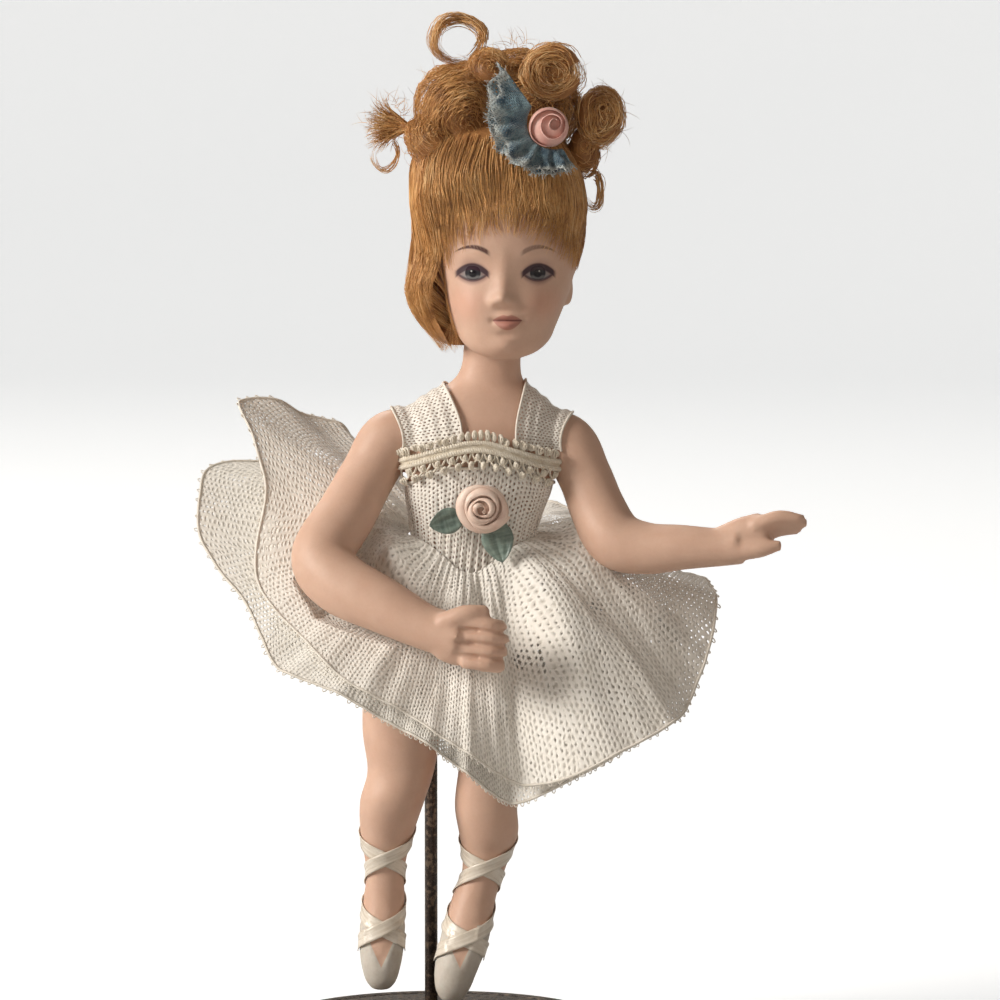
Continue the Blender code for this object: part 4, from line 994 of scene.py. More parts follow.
for leg, stations, crossing in (("right", RIGHT_LEG, 14.8), ("left", LEFT_LEG, 13.0)):
    for turn_way, hand, over in (("under", -1, 0), ("over", 1, 1)):
        rows = []
        for k in range(7):
            up = RIBBON_WIDTH * (k / 6 - 0.5)
            row = []
            for i in range(181):
                turn = -0.25 + 1.62 * i / 180
                z = crossing + (turn * RIBBON_PITCH + up) / STEP
                crossed = 0.5 + 0.5 * math.cos(4 * math.pi * turn)
                curl = 0.00012 * (2 * k / 6 - 1) ** 4 + 0.0001 * noise.noise((turn * 9, hand, up * 500))
                lift = RIBBON_LIFT + curl + over * RIBBON_LAP * smooth_step(1.8 * crossed)
                cx, cy = leg_axis(stations, z)
                row.append(skin_point(figure_skin, place(cx, cy, z), facing(hand * 360 * turn), lift))
            rows.append(row if hand > 0 else row[::-1])
        band = thickened(sheet_of(rows, (0.060, RIBBON_WIDTH)), RIBBON_THICKNESS)
        piece(f"{leg}_calf_ribbon_{turn_way}", band, ivory_satin, "ivory_satin", f"{leg}_ribbon_{turn_way}")

# The bodice
# One sleeve of knitted tulle drawn over the bust and waist, puckered where it is gathered in, with
# the skin showing through its holes and a rolled edge above and below.

WAIST_X = 6.6
WAIST_Z = 90.0
KNIT_CELL = 0.00080
BODICE_FLAT = (0.073, 0.0165)


def waist_height(azimuth):
    """The waist seam, which dips to a point in front."""
    toward_front = math.exp(-((((azimuth + 180) % 360 - 180) / 42.0) ** 2))
    return WAIST_Z + 3.6 - 7.0 * toward_front
def braid_middle(azimuth):
    """The height of the bust braid, which arches up in the middle and droops to the sides."""
    t = abs(azimuth + 4) / 88
    return 112.4 - 4.4 * smooth_step(t)

knit, given, result = node_group(
    "knit_net",
    (("Vector", "Vector"), ("Cell", "Float"), ("Stretch", "Float"), ("Open", "Float"), ("Wobble", "Float"),
     ("Tight", "Float")),
    (("Thread", "Float"), ("Height", "Float"), ("Shade", "Float")),
)
drift = node(knit, "ShaderNodeTexNoise", {"Vector": given["Vector"], "Scale": 700.0, "Detail": 2.0})
slow = node(knit, "ShaderNodeTexNoise", {"Vector": given["Vector"], "Scale": 90.0, "Detail": 2.0})
shift = node(knit, "ShaderNodeVectorMath", {0: drift.outputs["Color"], 1: (0.5, 0.5, 0.5)}, operation="SUBTRACT")
shift = node(knit, "ShaderNodeVectorMath", {0: shift.outputs[0], 3: given["Wobble"]}, operation="SCALE")
moved = node(knit, "ShaderNodeVectorMath", {0: given["Vector"], 1: shift.outputs[0]}, operation="ADD")
flat = node(knit, "ShaderNodeSeparateXYZ", {0: moved.outputs[0]}).outputs
u = calc(knit, "DIVIDE", flat[0], given["Cell"])
v = calc(knit, "DIVIDE", calc(knit, "DIVIDE", flat[1], given["Cell"]), given["Stretch"])
wale = calc(knit, "FLOOR", u)
v = calc(knit, "MULTIPLY_ADD", calc(knit, "FLOORED_MODULO", wale, 2.0), 0.5, v)
course = calc(knit, "FLOOR", v)
stitch = node(knit, "ShaderNodeCombineXYZ", {0: wale, 1: course})
chance = node(knit, "ShaderNodeTexWhiteNoise", {0: stitch.outputs[0]}).outputs["Value"]
hole = calc(knit, "MULTIPLY", given["Open"], calc(knit, "MULTIPLY_ADD", chance, 0.5, 0.75))
hole = calc(knit, "MULTIPLY", hole, ramp(knit, slow.outputs["Fac"], 0.53, 0.70, given["Tight"], 1.25))
out_u = calc(knit, "DIVIDE", calc(knit, "SUBTRACT", calc(knit, "FRACT", u), 0.5), hole)
out_v = calc(knit, "DIVIDE", calc(knit, "SUBTRACT", calc(knit, "FRACT", v), 0.5), calc(knit, "MULTIPLY", hole, 1.12))
away = distance(knit, out_u, out_v)
knit.links.new(ramp(knit, away, 0.86, 1.04), result["Thread"])
# Each stitch's pit sets the Height, which gives the relief and, in the tulle, painted shade down in the pits.
pit_u = calc(knit, "DIVIDE", calc(knit, "SUBTRACT", calc(knit, "FRACT", u), 0.5), 0.28)
pit_v = calc(knit, "DIVIDE", calc(knit, "SUBTRACT", calc(knit, "FRACT", v), 0.5), 0.34)
pit = calc(knit, "MULTIPLY", distance(knit, pit_u, pit_v), calc(knit, "MULTIPLY_ADD", chance, 0.5, 0.8))
yarn = calc(knit, "MULTIPLY_ADD", drift.outputs["Fac"], 0.5, 0.75)
pit_relief_and_shade = calc(knit, "MULTIPLY", ramp(knit, pit, 0.35, 1.5), yarn)
knit.links.new(pit_relief_and_shade, result["Height"])
knit.links.new(calc(knit, "MULTIPLY_ADD", chance, 0.5, calc(knit, "MULTIPLY", slow.outputs["Fac"], 0.5)), result["Shade"])


def tulle(name, cell, stretch, opened, tight, dark, light, wobble):
    """Knitted tulle: a staggered net of open stitches in soft ivory thread."""
    look, tree, shader = material(name, {
        "Roughness": 0.82, "Sheen Weight": 0.3, "Sheen Roughness": 0.5, "Specular IOR Level": 0.2,
    })
    made = node(tree, "ShaderNodeGroup", node_tree=knit)
    tree.links.new(node(tree, "ShaderNodeTexCoord").outputs["UV"], made.inputs["Vector"])
    for socket, value in (
        ("Cell", cell), ("Stretch", stretch), ("Open", opened), ("Tight", tight), ("Wobble", wobble),
    ):
        made.inputs[socket].default_value = value
    age = mottled(tree, 130.0, 1.6)
    share = calc(tree, "MULTIPLY_ADD", made.outputs["Shade"], 0.5, calc(tree, "MULTIPLY", age["Tone"], 0.5))
    colour = tinted(tree, share, dark, light)
    # Painted shade: the thread is darker down in the pits of the stitches.
    deep = tuple(0.84 * c for c in dark)
    colour = tinted(tree, ramp(tree, made.outputs["Height"], 0.0, 0.6), deep, colour)
    tree.links.new(colour, shader.inputs["Base Color"])
    tree.links.new(made.outputs["Thread"], shader.inputs["Alpha"])
    relief(tree, shader, made.outputs["Height"], 0.00016, 0.9)
    return look


bodice_tulle = tulle("bodice_tulle", KNIT_CELL, 1.15, 0.26, 0.66, (0.81, 0.75, 0.67), (0.97, 0.94, 0.88), 0.0006)


def thread(name, dark, light, rough=0.7):
    """Spun thread: a soft twist along the cord."""
    look, tree, shader = material(name, {"Roughness": rough, "Sheen Weight": 0.3, "Specular IOR Level": 0.3})
    shade = node(tree, "ShaderNodeAttribute", attribute_name="shade").outputs["Fac"]
    age = mottled(tree, 900.0, 2.2)
    share = calc(tree, "MULTIPLY_ADD", shade, 0.5, calc(tree, "MULTIPLY", age["Tone"], 0.5))
    tree.links.new(tinted(tree, share, dark, light), shader.inputs["Base Color"])
    relief(tree, shader, age["Height"], 0.00008)
    return look


edge_thread = thread("edge_thread", (0.72, 0.65, 0.55), (0.91, 0.87, 0.80))


def bodice_edge(azimuth):
    """The upper edge: up to the braid in front, under the arms, and level behind."""
    off = abs((azimuth + 180) % 360 - 180)
    under_arm = 107.4 - 3.0 * math.sin(math.radians(azimuth)) ** 2
    return under_arm + (braid_middle(azimuth) - under_arm) * smooth_step((70 - off) / 34)


rows = []
for k in range(34):
    f = k / 33
    row = []
    for i in range(240):
        azimuth = 360 * i / 240
        low, high = waist_height(azimuth) - 0.6, bodice_edge(azimuth)
        pucker = 0.00032 * noise.noise((azimuth * 0.16, f * 2.6, 3.0)) * math.sin(math.pi * f)
        gather = 0.00022 * math.cos(math.radians(azimuth * 38 + 60 * math.sin(9 * f))) * (1 - f) ** 2
        row.append(on_torso(azimuth, low + f * (high - low), 0.0008 + pucker + gather))
    rows.append(row)
bodice_edges = corded([
    ([p + facing(1.5 * i) * 0.0001 for i, p in enumerate(rows[k])] + [rows[k][0] + facing(0) * 0.0001], 0.0003, 0.5)
    for k in (0, -1)
], 6, edge_thread)
bodice = piece("tulle_bodice", sheet_of(rows, BODICE_FLAT, closed=True), bodice_tulle, "ivory_tulle", "bodice")
edging = piece("bodice_edges", bodice_edges, edge_thread, "ivory_tulle")

# The shoulder straps
# Two bands of the same tulle, gathered lengthwise so that they lie in ridges with rolled edges,
# sewn under the braid in front and to the bodice behind.

STRAP_START = -17
STRAP_SLANT = 1
STRAP_END = 206
STRAP_FLAT = (0.036, 0.0100)

strap_tulle = tulle("strap_tulle", 0.00074, 1.1, 0.27, 0.70, (0.81, 0.74, 0.66), (0.97, 0.935, 0.87), 0.0006)

for hand, side in (("right", -1), ("left", 1)):
    rows = []
    for k in range(31):
        across = k / 30
        row = []
        for i in range(91):
            over = i / 90
            front = STRAP_START + STRAP_SLANT * across
            turn = math.radians(front + (STRAP_END - front) * over)
            spread = math.cos(turn) ** 2
            inner = 7.8 - 3.8 * spread if side < 0 else 8.8 - 2.0 * spread
            outer = 18.2 - 2.6 * spread
            x = 8.4 + side * (inner + across * (outer - inner))
            z = 114.4 - 1.6 * across
            ridge = math.cos(2 * math.pi * (4.6 * across + 0.35 * noise.noise((over * 4, side, 7.0))))
            rolled = abs(2 * across - 1) ** 8
            lift = 0.00055 + 0.00014 * ridge + 0.00012 * rolled
            direction = Vector((0.0, -math.cos(turn), math.sin(turn)))
            row.append(skin_point(figure_skin, place(x, 0.0, z), direction, lift))
        rows.append(row if side < 0 else row[::-1])
    edges = corded([(rows[0], 0.00024, 0.6), (rows[-1], 0.00024, 0.4)], 6, edge_thread)
    edging = piece(f"{hand}_strap_edges", edges, edge_thread, "ivory_tulle")
    strap = piece(f"{hand}_strap", sheet_of(rows, STRAP_FLAT), strap_tulle, "ivory_tulle", f"strap_{hand}")

# The tutu
# Two layers of knitted tulle gathered onto the waist in soft radiating folds. The upper one has an
# open stitch and a picot hem; the lower one is denser and shows beyond it at the sides.

def around(rows, degrees):
    """Reads rows that start with an azimuth as a smooth closed curve."""
    count = len(rows)
    degrees = degrees % 360
    i = max((k for k in range(count) if rows[k][0] <= degrees), default=count - 1)
    here, there = rows[i], rows[(i + 1) % count]
    span = (there[0] - here[0]) % 360
    f = ((degrees - here[0]) % 360) / span
    before, after = rows[i - 1], rows[(i + 2) % count]
    return [
        q + 0.5 * f * (r - p + f * (2 * p - 5 * q + 4 * r - s + f * (3 * (q - r) + s - p)))
        for p, q, r, s in zip(before[1:], here[1:], there[1:], after[1:])
    ]
OVERSKIRT_HEM = [
    (11, 27.5, -40.8), (32, 33.0, -42.0), (47, 40.0, -36.5), (64, 46.0, -29.9),
    (79, 47.3, -20.4), (94, 47.9, -10.5), (110, 46.3, -4.2), (130, 38.0, 0.1),
    (150, 34.7, 8.2), (192, 31.7, 9.7), (207, 34.7, 12.5), (221, 36.9, 19.0),
    (235, 42.1, 26.3), (250, 49.6, 30.4), (258, 45.3, 21.9), (267, 41.8, 10.6),
    (280, 43.9, -2.9), (298, 39.0, -13.6), (314, 34.4, -23.1), (332, 30.7, -27.4),
    (346, 27.8, -33.4),
]
UNDERSKIRT_HEM = [
    (10, 23.4, -43.4), (23, 26.3, -44.5), (43, 33.4, -38.8), (62, 39.4, -31.6),
    (78, 41.6, -23.4), (94, 41.7, -14.6), (112, 38.0, -9.0), (133, 34.0, -5.0),
    (161, 28.6, 3.0), (194, 27.8, 4.6), (216, 32.0, 8.4), (235, 39.9, 13.0),
    (248, 48.1, 20.0), (255, 55.4, 17.6), (261, 55.9, 12.0), (267, 55.1, 4.5),
    (272, 51.6, -0.6), (280, 46.3, -6.2), (288, 44.5, -12.4), (296, 43.0, -18.6),
    (306, 37.7, -22.4), (317, 32.7, -26.0), (334, 28.9, -30.6), (350, 25.9, -36.4),
]
def clear_of_arm(point, stations, away, room):
    """Pushes a point of cloth off the arm that lies on it, the way that `away` points."""
    for low, high in zip(stations, stations[1:]):
        start, end = place(*low[:3]), place(*high[:3])
        nearest, share = intersect_point_line(point, start, end)
        if not -0.2 <= share <= 1.2:
            continue
        radius = (low[3] + share * (high[3] - low[3])) * STEP + room
        along = (end - start).normalized()
        push = (away - along * away.dot(along)).normalized()
        off = point - nearest
        across = abs(off.dot(along.cross(push))) / radius
        depth = off.dot(push)
        if across > 1.6 or abs(depth) > 2.2 * radius:
            continue
        reach = radius * (1.1 - 0.4 * across * across)
        if depth < reach:
            point = point + push * (reach - depth) * smooth_step((1.6 - across) / 0.5)
    return point

TUTU_COLUMNS = 440
TUTU_ROWS = 56
TUTU_GORES = 20
GORE_NARROWING = 0.72
LAYER_DROP = 0.0018
ARM_ROOM = 0.0014


# Puffs and hollows of the cloth: azimuth, its spread, share of the way out, its spread, steps high
PUFFS = (
    (10, 6.0, 0.32, 0.20, -2.0), (-9, 11.0, 0.30, 0.22, 1.3), (92, 22.0, 0.27, 0.14, 6.6),
    (-66, 18.0, 0.20, 0.12, 4.2), (30, 9.0, 0.34, 0.20, -2.2), (46, 10.0, 0.45, 0.28, 1.8),
)


def fold_height(azimuth, f, layer):
    """How far a fold stands off the cloth's middle, in steps."""
    turn = math.radians(azimuth)
    wander = noise.noise((3.0 * math.cos(turn), 3.0 * math.sin(turn), 1.2 * f))
    slow = noise.noise((1.6 * math.cos(turn) + 9, 1.6 * math.sin(turn), 0.7 * f + 4))
    deep = (1.3 + 1.3 * slow) * f * math.cos(8 * turn + 2.6 * wander)
    fine = 0.16 * f ** 0.7 * math.cos(27 * turn + 4.0 * wander + layer)
    ripple = 0.14 * f ** 1.6 * math.cos(49 * turn + 6.0 * slow + 2 * layer)
    gather = 0.07 * (1 - f) ** 3 * math.cos(58 * turn + 3.0 * wander)
    crumple = 1.3 * f ** 0.7 * noise.noise((5 * math.cos(turn), 5 * math.sin(turn), 2.4 * f + layer))
    off = (azimuth + 180) % 360 - 180
    folds = deep + fine + ripple + gather + crumple
    for middle, spread, out, reach, high in PUFFS:
        folds += high * math.exp(-(((off - middle) / spread) ** 2) - ((f - out) / reach) ** 2)
    return folds


def tutu_layer(hem, layer):
    """Rows of points from the waist out to the hem."""
    drop = layer * LAYER_DROP
    rows = []
    for k in range(TUTU_ROWS + 1):
        f = k / TUTU_ROWS
        row = []
        for i in range(TUTU_COLUMNS):
            azimuth = 360 * i / TUTU_COLUMNS
            reach, rise = around(hem, azimuth)
            start = on_torso(azimuth, waist_height(azimuth) + 0.5, 0.0014) if k == 0 else rows[0][i]
            end = place(WAIST_X, 0.0, WAIST_Z + rise) + facing(azimuth) * reach * STEP
            belly = 1.15 + 0.3 * math.sin(math.radians(azimuth))
            level = start.lerp(end, f)
            level.z = start.z + (end.z - start.z) * f ** belly - drop * smooth_step(4 * f)
            outward = facing(azimuth)
            lean = end - start
            normal = (Vector((0, 0, 1)) * lean.dot(outward) - outward * lean.z).normalized()
            level += normal * fold_height(azimuth, f, layer) * STEP
            if k > 0:
                level = clear_of_arm(level, RIGHT_ARM[2:5], Vector((0.0, 1.0, -0.4)), ARM_ROOM + drop)
                level = clear_of_arm(level, RIGHT_ARM[4:], Vector((0.0, 0.2, -1.0)), ARM_ROOM + drop)
            row.append(level)
        rows.append(row)
    return rows


def hem_cords(rows, picots):
    """A rolled hem along the cloth's edge, and the small loops of thread that stand out of it."""
    hem, above = rows[-1], rows[-3]
    count = len(hem)
    paths = [(hem + hem[:1], 0.00030, 0.6)]
    for n in range(picots):
        at = count * (n + 0.3 * noise.noise((n * 0.7, 5.0, 1.0))) / picots
        i = int(at) % count
        point = hem[i].lerp(hem[(i + 1) % count], at % 1)
        out = (hem[i] - above[i]).normalized()
        beside = (hem[(i + 2) % count] - hem[i - 2]).normalized()
        size = 0.00040 * (1 + 0.6 * noise.noise((n * 1.3, 2.0, 0.0)))
        loop = [
            point + out * size * (0.9 - math.cos(t) * 1.1) + beside * size * 0.8 * math.sin(t)
            for t in (2 * math.pi * s / 8 for s in range(9))
        ]
        paths.append((loop, 0.00012, 0.5 + 0.5 * math.sin(n)))
    return corded(paths, 4, edge_thread)


over_tulle = tulle("overskirt_tulle", 0.00086, 1.15, 0.23, 0.42, (0.86, 0.81, 0.73), (0.98, 0.955, 0.905), 0.0009)
lining_tulle = tulle("underskirt_tulle", 0.00070, 1.1, 0.18, 0.36, (0.84, 0.79, 0.71), (0.97, 0.94, 0.89), 0.0008)

for name, hem, layer, look, flat, slot_name, node_name, picots in (
    ("tulle_overskirt", OVERSKIRT_HEM, 0, over_tulle, (0.270, 0.037), "ivory_tulle", "overskirt", 150),
    ("tulle_underskirt", UNDERSKIRT_HEM, 1, lining_tulle, (0.262, 0.036), "lining_tulle", "underskirt", 170),
):
    rows = tutu_layer(hem, layer)
    edging = piece(name + "_hem", hem_cords(rows, picots), edge_thread, slot_name)
    cloth = sheet_of(rows[::-1], flat, closed=True, gores=TUTU_GORES, narrowing=GORE_NARROWING)
    skirt = piece(name, cloth, look, slot_name, node_name)

# The mohair wig
# Ginger mohair glued on in one mass: a short straight fringe, long hair at her right cheek, the
# rest pinned up in a bun and loose frizzy curls.

WIG_CAP = [
    (131.6, 2.0, 15.0, -6.0, 8.0),
    (133.6, -1.2, 18.0, -8.6, 11.6),
    (137.0, -4.2, 21.2, -9.6, 14.4),
    (142.0, -6.2, 24.4, -11.4, 16.6),
    (148.0, -5.6, 27.2, -14.4, 18.6),
    (155.0, -5.0, 28.8, -16.8, 19.4),
    (162.0, -5.2, 28.4, -16.2, 18.8),
    (168.4, -5.0, 26.6, -13.8, 16.6),
    (173.4, -2.6, 23.4, -10.2, 13.0),
    (177.4, 2.0, 18.6, -6.4, 8.6),
]
CURLS = [
    ((3.2, -1.0, 178.6), (7.4, 8.6, 8.8)),
    ((-1.4, -3.0, 172.6), (5.0, 6.4, 5.4)),
    ((15.6, 1.6, 178.6), (11.6, 9.4, 9.2)),
    ((10.0, -3.0, 186.2), (4.6, 5.0, 4.2)),
    ((16.2, -2.0, 188.8), (4.4, 4.6, 3.4)),
    ((22.6, -4.0, 186.0), (4.6, 5.0, 4.6)),
    ((32.2, -0.5, 176.8), (4.5, 5.2, 5.8)),
    ((28.6, 0.5, 170.8), (3.2, 4.0, 5.2)),
    ((-11.2, -0.5, 177.4), (4.4, 3.2, 3.4)),
    ((8.0, 9.0, 180.0), (9.0, 8.0, 8.0)),
]
HAIR_DOWN_TO = 133.5
FACE_DEPTH = 3.6
WIG_VOXEL = 0.0005
TUFT_RADIUS = 4.4

# The lower edge of the fringe in steps, seen from the front: across and height
FRINGE = [
    (-1.2, 150.4), (1.6, 154.0), (6.0, 156.8), (12.0, 158.6), (18.0, 157.6), (23.0, 154.4), (27.4, 151.0),
]
FRINGE_LAP = 2.6
HAIR_RISE = 7.5


def fringe_edge(x):
    """The height of the fringe's lower edge."""
    for (x0, z0), (x1, z1) in zip(FRINGE, FRINGE[1:]):
        if x <= x1:
            return z0 + (z1 - z0) * max(0.0, (x - x0) / (x1 - x0))
    return FRINGE[-1][1]


def cap_lump(shape, rings=60):
    rows = [curve_through(WIG_CAP, k / (rings - 1)) for k in range(rings)]
    return loft([
        [place(*p) for p in oval_ring((left + right) / 2, front, back, (right - left) / 2, z)]
        for z, left, right, front, back in rows
    ], shape)


def coil_lump(shape, centre, radii, strand, start, sweep, count=12):
    stations = []
    for k in range(count):
        turn = math.radians(start + sweep * k / (count - 1))
        stations.append((
            centre[0] + radii[0] * math.cos(turn), centre[1], centre[2] + radii[1] * math.sin(turn), strand,
        ))
    return limb(shape, stations, count, sides=16)


def cut(mesh, cutter):
    """Takes one closed shape out of another."""
    holder, tool = put_in_scene(mesh), put_in_scene(cutter)
    hollow = holder.modifiers.new("hollow", "BOOLEAN")
    hollow.operation = "DIFFERENCE"
    hollow.solver = "MANIFOLD"
    hollow.object = tool
    result = evaluated(holder)
    bpy.data.objects.remove(tool)
    return result


# Loose curls, seen from the front, in steps: middle, radii, strand, start and sweep in degrees, hairs
COILS = (
    ((22.4, -7.0, 186.2), (4.3, 4.1), 2.0, 20, 330, 340),
    ((3.6, -1.0, 193.0), (5.1, 4.2), 0.62, -70, 350, 84),
    ((-11.0, -1.0, 170.2), (2.3, 2.9), 0.26, 60, -250, 16),
    ((30.2, -1.0, 163.0), (1.9, 3.4), 0.6, 120, -250, 40),
    ((31.8, -3.0, 177.6), (2.8, 3.8), 2.1, 100, 340, 240),
)

shape = cap_lump(None)
cap_skin = tree_of(as_mesh(cap_lump(None)))
for centre, radii in CURLS:
    if radii[0] != TUFT_RADIUS:
        shape = blob(shape, centre, [0.90 * r for r in radii])
for centre, radii, strand, start, sweep_angle, hairs in COILS:
    if strand > 1.0:
        shape = coil_lump(shape, centre, radii, 0.8 * strand, start, sweep_angle)
shape = limb(shape, [(-9.0, -0.5, 176.0, 0.7), (-5.6, -0.8, 175.2, 1.1), (-1.0, -1.0, 175.6, 1.8)], 8)
wig_mesh = fused(shape, WIG_VOXEL, 2)
grow = 0.4
rows = [curve_through(HEAD, k / 50) for k in range(51)]
hollow = loft([
    [place(HEAD_X + x, y, z) for x, y, z in oval_ring(0.0, front - grow, back + grow, width + grow, z)]
    for z, front, back, width in rows
])
hollow = loft([
    [place(*p) for p in oval_ring(cx, front - grow, back + grow, width + grow, z)]
    for z, cx, front, back, width in TORSO[-5:]
], hollow)
wig_mesh = cut(wig_mesh, fused(hollow, 0.0009, 0))
outline = [(40.0, 152.2)] + [(x, z + FRINGE_LAP * (x > 0)) for x, z in FRINGE[::-1]]
outline += [(-1.8, 143.6), (-0.8, 137.6), (2.2, 131.8), (3.0, 118.0), (40.0, 118.0)]
opening = bmesh.new()
back_ring, front_ring = [
    [opening.verts.new(place(x, depth, z)) for x, z in outline[::-1]] for depth in (FACE_DEPTH, -40.0)
]
opening.faces.new(back_ring[::-1])
opening.faces.new(front_ring)
for i in range(len(outline)):
    j = (i + 1) % len(outline)
    opening.faces.new((back_ring[i], back_ring[j], front_ring[j], front_ring[i]))
bmesh.ops.recalc_face_normals(opening, faces=opening.faces[:])
wig_mesh = cut(wig_mesh, as_mesh(opening))


def fullness(x, z):
    """How full the hair is in front, from 0 where it thins out at the face to 1 further in."""
    spot = Vector((x, z, 0.0))
    gap = HAIR_RISE
    for start, end in zip(outline[1:7], outline[2:8]):
        line = Vector((end[0] - start[0], end[1] - start[1], 0.0))
        from_start = spot - Vector((*start, 0.0))
        share = min(1.0, max(0.0, from_start.dot(line) / line.length_squared))
        gap = min(gap, (from_start - line * share).length)
    return smooth_step(gap / HAIR_RISE)


def brow_hit(z, out):
    """The skin under the hair, seen outward from the middle of the head."""
    return figure_skin.ray_cast(place(HEAD_X - 1.5, 1.0, z), out)[0]


for vertex in wig_mesh.vertices:
    x, y, z = vertex.co.x / STEP, vertex.co.y / STEP, (vertex.co.z - TOE_HEIGHT) / STEP
    if y < FACE_DEPTH and 134.0 < z < 170.0:
        full = fullness(x, z)
        out = Vector((vertex.co.x - (HEAD_X - 1.5) * STEP, vertex.co.y - STEP, 0.0)).normalized()
        skin = brow_hit(z, out)
        if full < 1.0 and skin:
            vertex.co = (skin + out * 0.0002).lerp(vertex.co, full)

mohair, tree, shader = material("ginger_mohair", {
    "Sheen Weight": 0.2, "Sheen Roughness": 0.4, "Specular IOR Level": 0.45,
})
shade = node(tree, "ShaderNodeAttribute", attribute_name="shade").outputs["Fac"]
locks = mottled(tree, 260.0, 2.0)
share = calc(tree, "MULTIPLY_ADD", shade, 0.62, calc(tree, "MULTIPLY", locks["Tone"], 0.38))
colour = tinted(tree, ramp(tree, share, 0.10, 0.62), (0.33, 0.138, 0.042), (0.71, 0.370, 0.125))
colour = tinted(tree, ramp(tree, share, 0.50, 0.92), colour, (0.90, 0.64, 0.33))
tree.links.new(colour, shader.inputs["Base Color"])
tree.links.new(ramp(tree, locks["Tone"], 0.0, 1.0, 0.38, 0.58), shader.inputs["Roughness"])
relief(tree, shader, locks["Height"], 0.00012)

wig = piece("pinned_wig", wig_mesh, mohair, "mohair", "wig")

rng = random.Random(7)
noise.seed_set(7)  # else noise_vector differs from run to run
HAIR_THICKNESS = 0.000085


def tapered(count, thickness):
    """A hair's thickness along it, fine at the tip."""
    return [thickness * (1 - 0.75 * (k / (count - 1)) ** 2) for k in range(count)]


def frizz(point, size, seed):
    """A small wander that neighbouring hairs nearly share."""
    spot = point * 160.0 + Vector((seed, 0.0, 0.0))
    return noise.noise_vector(spot) * size


cap_hairs = []
for n in range(2350):
    azimuth = rng.uniform(-180, 180) if n < 1700 else rng.uniform(-75, 75)
    brow_point = cap_skin.ray_cast(place(HEAD_X - 1.5, 1.0, 152.0), facing(azimuth))[0]
    x = brow_point.x / STEP
    in_front = brow_point.y / STEP < FACE_DEPTH + (2.0 if x > 20 else -1.5) and x > -1.4
    low = fringe_edge(x) + rng.uniform(-4.2, 2.0) if in_front else HAIR_DOWN_TO + rng.uniform(-3.0, 5.0)
    high = rng.uniform(164.0, 174.5)
    lift = rng.uniform(0.0001, 0.0008)
    seed = rng.uniform(0, 1)
    drift = rng.uniform(-5, 5)
    count = 12
    hair = []
    for k in range(count):
        f = k / (count - 1)
        z = high + (low - high) * f
        wander = drift * f + 9 * noise.noise((azimuth * 0.06, f * 2.2, 1.0)) * f
        out = facing(azimuth + wander)
        middle = place(HEAD_X - 1.5, 1.0, max(z, 132.2))
        hit = cap_skin.ray_cast(middle, out)[0] + out * lift
        if hit.y < FACE_DEPTH * STEP and z > 134.0:
            covered = z > fringe_edge(hit.x / STEP) + FRINGE_LAP or hit.x < -1.4 * STEP
            full = fullness(hit.x / STEP, z) if covered else 0.0
            hit = (brow_hit(z, out) + out * (0.0002 + 0.4 * lift)).lerp(hit, full)
        point = hit + frizz(hit, 0.00035, seed)
        point.z = place(0, 0, z).z
        hair.append(point)
    clump = 0.5 + 0.5 * noise.noise((azimuth * 0.35, 3.0, 8.0))
    cap_hairs.append((hair, tapered(count, HAIR_THICKNESS), 0.55 * clump + 0.45 * rng.random()))
cap_piece = piece("combed_hair", corded(cap_hairs, 3, mohair), mohair, "mohair")

# Pinned locks in steps: middle, radii, axis that the hair winds round, hairs, start and sweep in degrees
SWIRLS = (
    ((3.2, -1.0, 178.6), (7.8, 9.0, 9.2), (0.30, -1.0, -0.30), 330, 20, 190),
    ((-1.4, -3.0, 172.6), (5.2, 6.6, 5.6), (0.2, -1.0, 0.3), 180, 60, 180),
    ((15.6, 1.6, 178.6), (12.0, 9.8, 9.6), (0.1, -1.0, 0.1), 360, 10, 170),
    ((10.0, -3.0, 186.2), (5.0, 5.4, 4.6), (0.0, -1.0, 0.2), 160, 10, 200),
    ((15.4, -2.0, 187.0), (5.4, 5.2, 3.6), (0.2, -1.0, 0.2), 150, 0, 200),
    ((32.2, -0.5, 176.8), (4.7, 5.4, 6.0), (0.1, -1.0, 0.0), 110, 60, 260),
    ((28.6, 0.5, 170.8), (3.4, 4.2, 5.4), (0.0, -1.0, 0.3), 60, -80, 160),
    ((8.0, 9.0, 180.0), (9.3, 8.3, 8.3), (0.1, 1.0, 0.2), 300, 0, 260),
)
curl_hairs = []
for centre, radii, axis, hairs, start, turned in SWIRLS:
    axis = Vector(axis).normalized()
    side = axis.cross(Vector((0, 0, 1))).normalized()
    up = side.cross(axis)
    for n in range(hairs):
        tilt = math.radians(rng.uniform(10, 118))
        lean = math.radians(rng.gauss(0, 20))
        first = start + rng.uniform(-80, 80)
        reach = turned * rng.uniform(0.5, 1.0)
        size = rng.uniform(0.985, 1.05)
        seed = rng.uniform(0, 1)
        hair = []
        for k in range(13):
            f = k / 12
            turn = math.radians(first + reach * f)
            way = axis * math.cos(tilt + lean * f) + math.sin(tilt + lean * f) * (
                side * -math.cos(turn) + up * math.sin(turn))
            wave = 1 + 0.05 * math.sin(2 * math.pi * 3.2 * f + 0.18 * math.degrees(tilt) + n % 3)
            spot = place(*(c + size * wave * r * w for c, r, w in zip(centre, radii, way)))
            hair.append(spot + frizz(spot, 0.0011, seed))
        clump = 0.5 + 0.5 * noise.noise((math.degrees(tilt) * 0.12, centre[0], 2.0))
        curl_hairs.append((hair, tapered(13, HAIR_THICKNESS), 0.55 * clump + 0.45 * rng.random()))
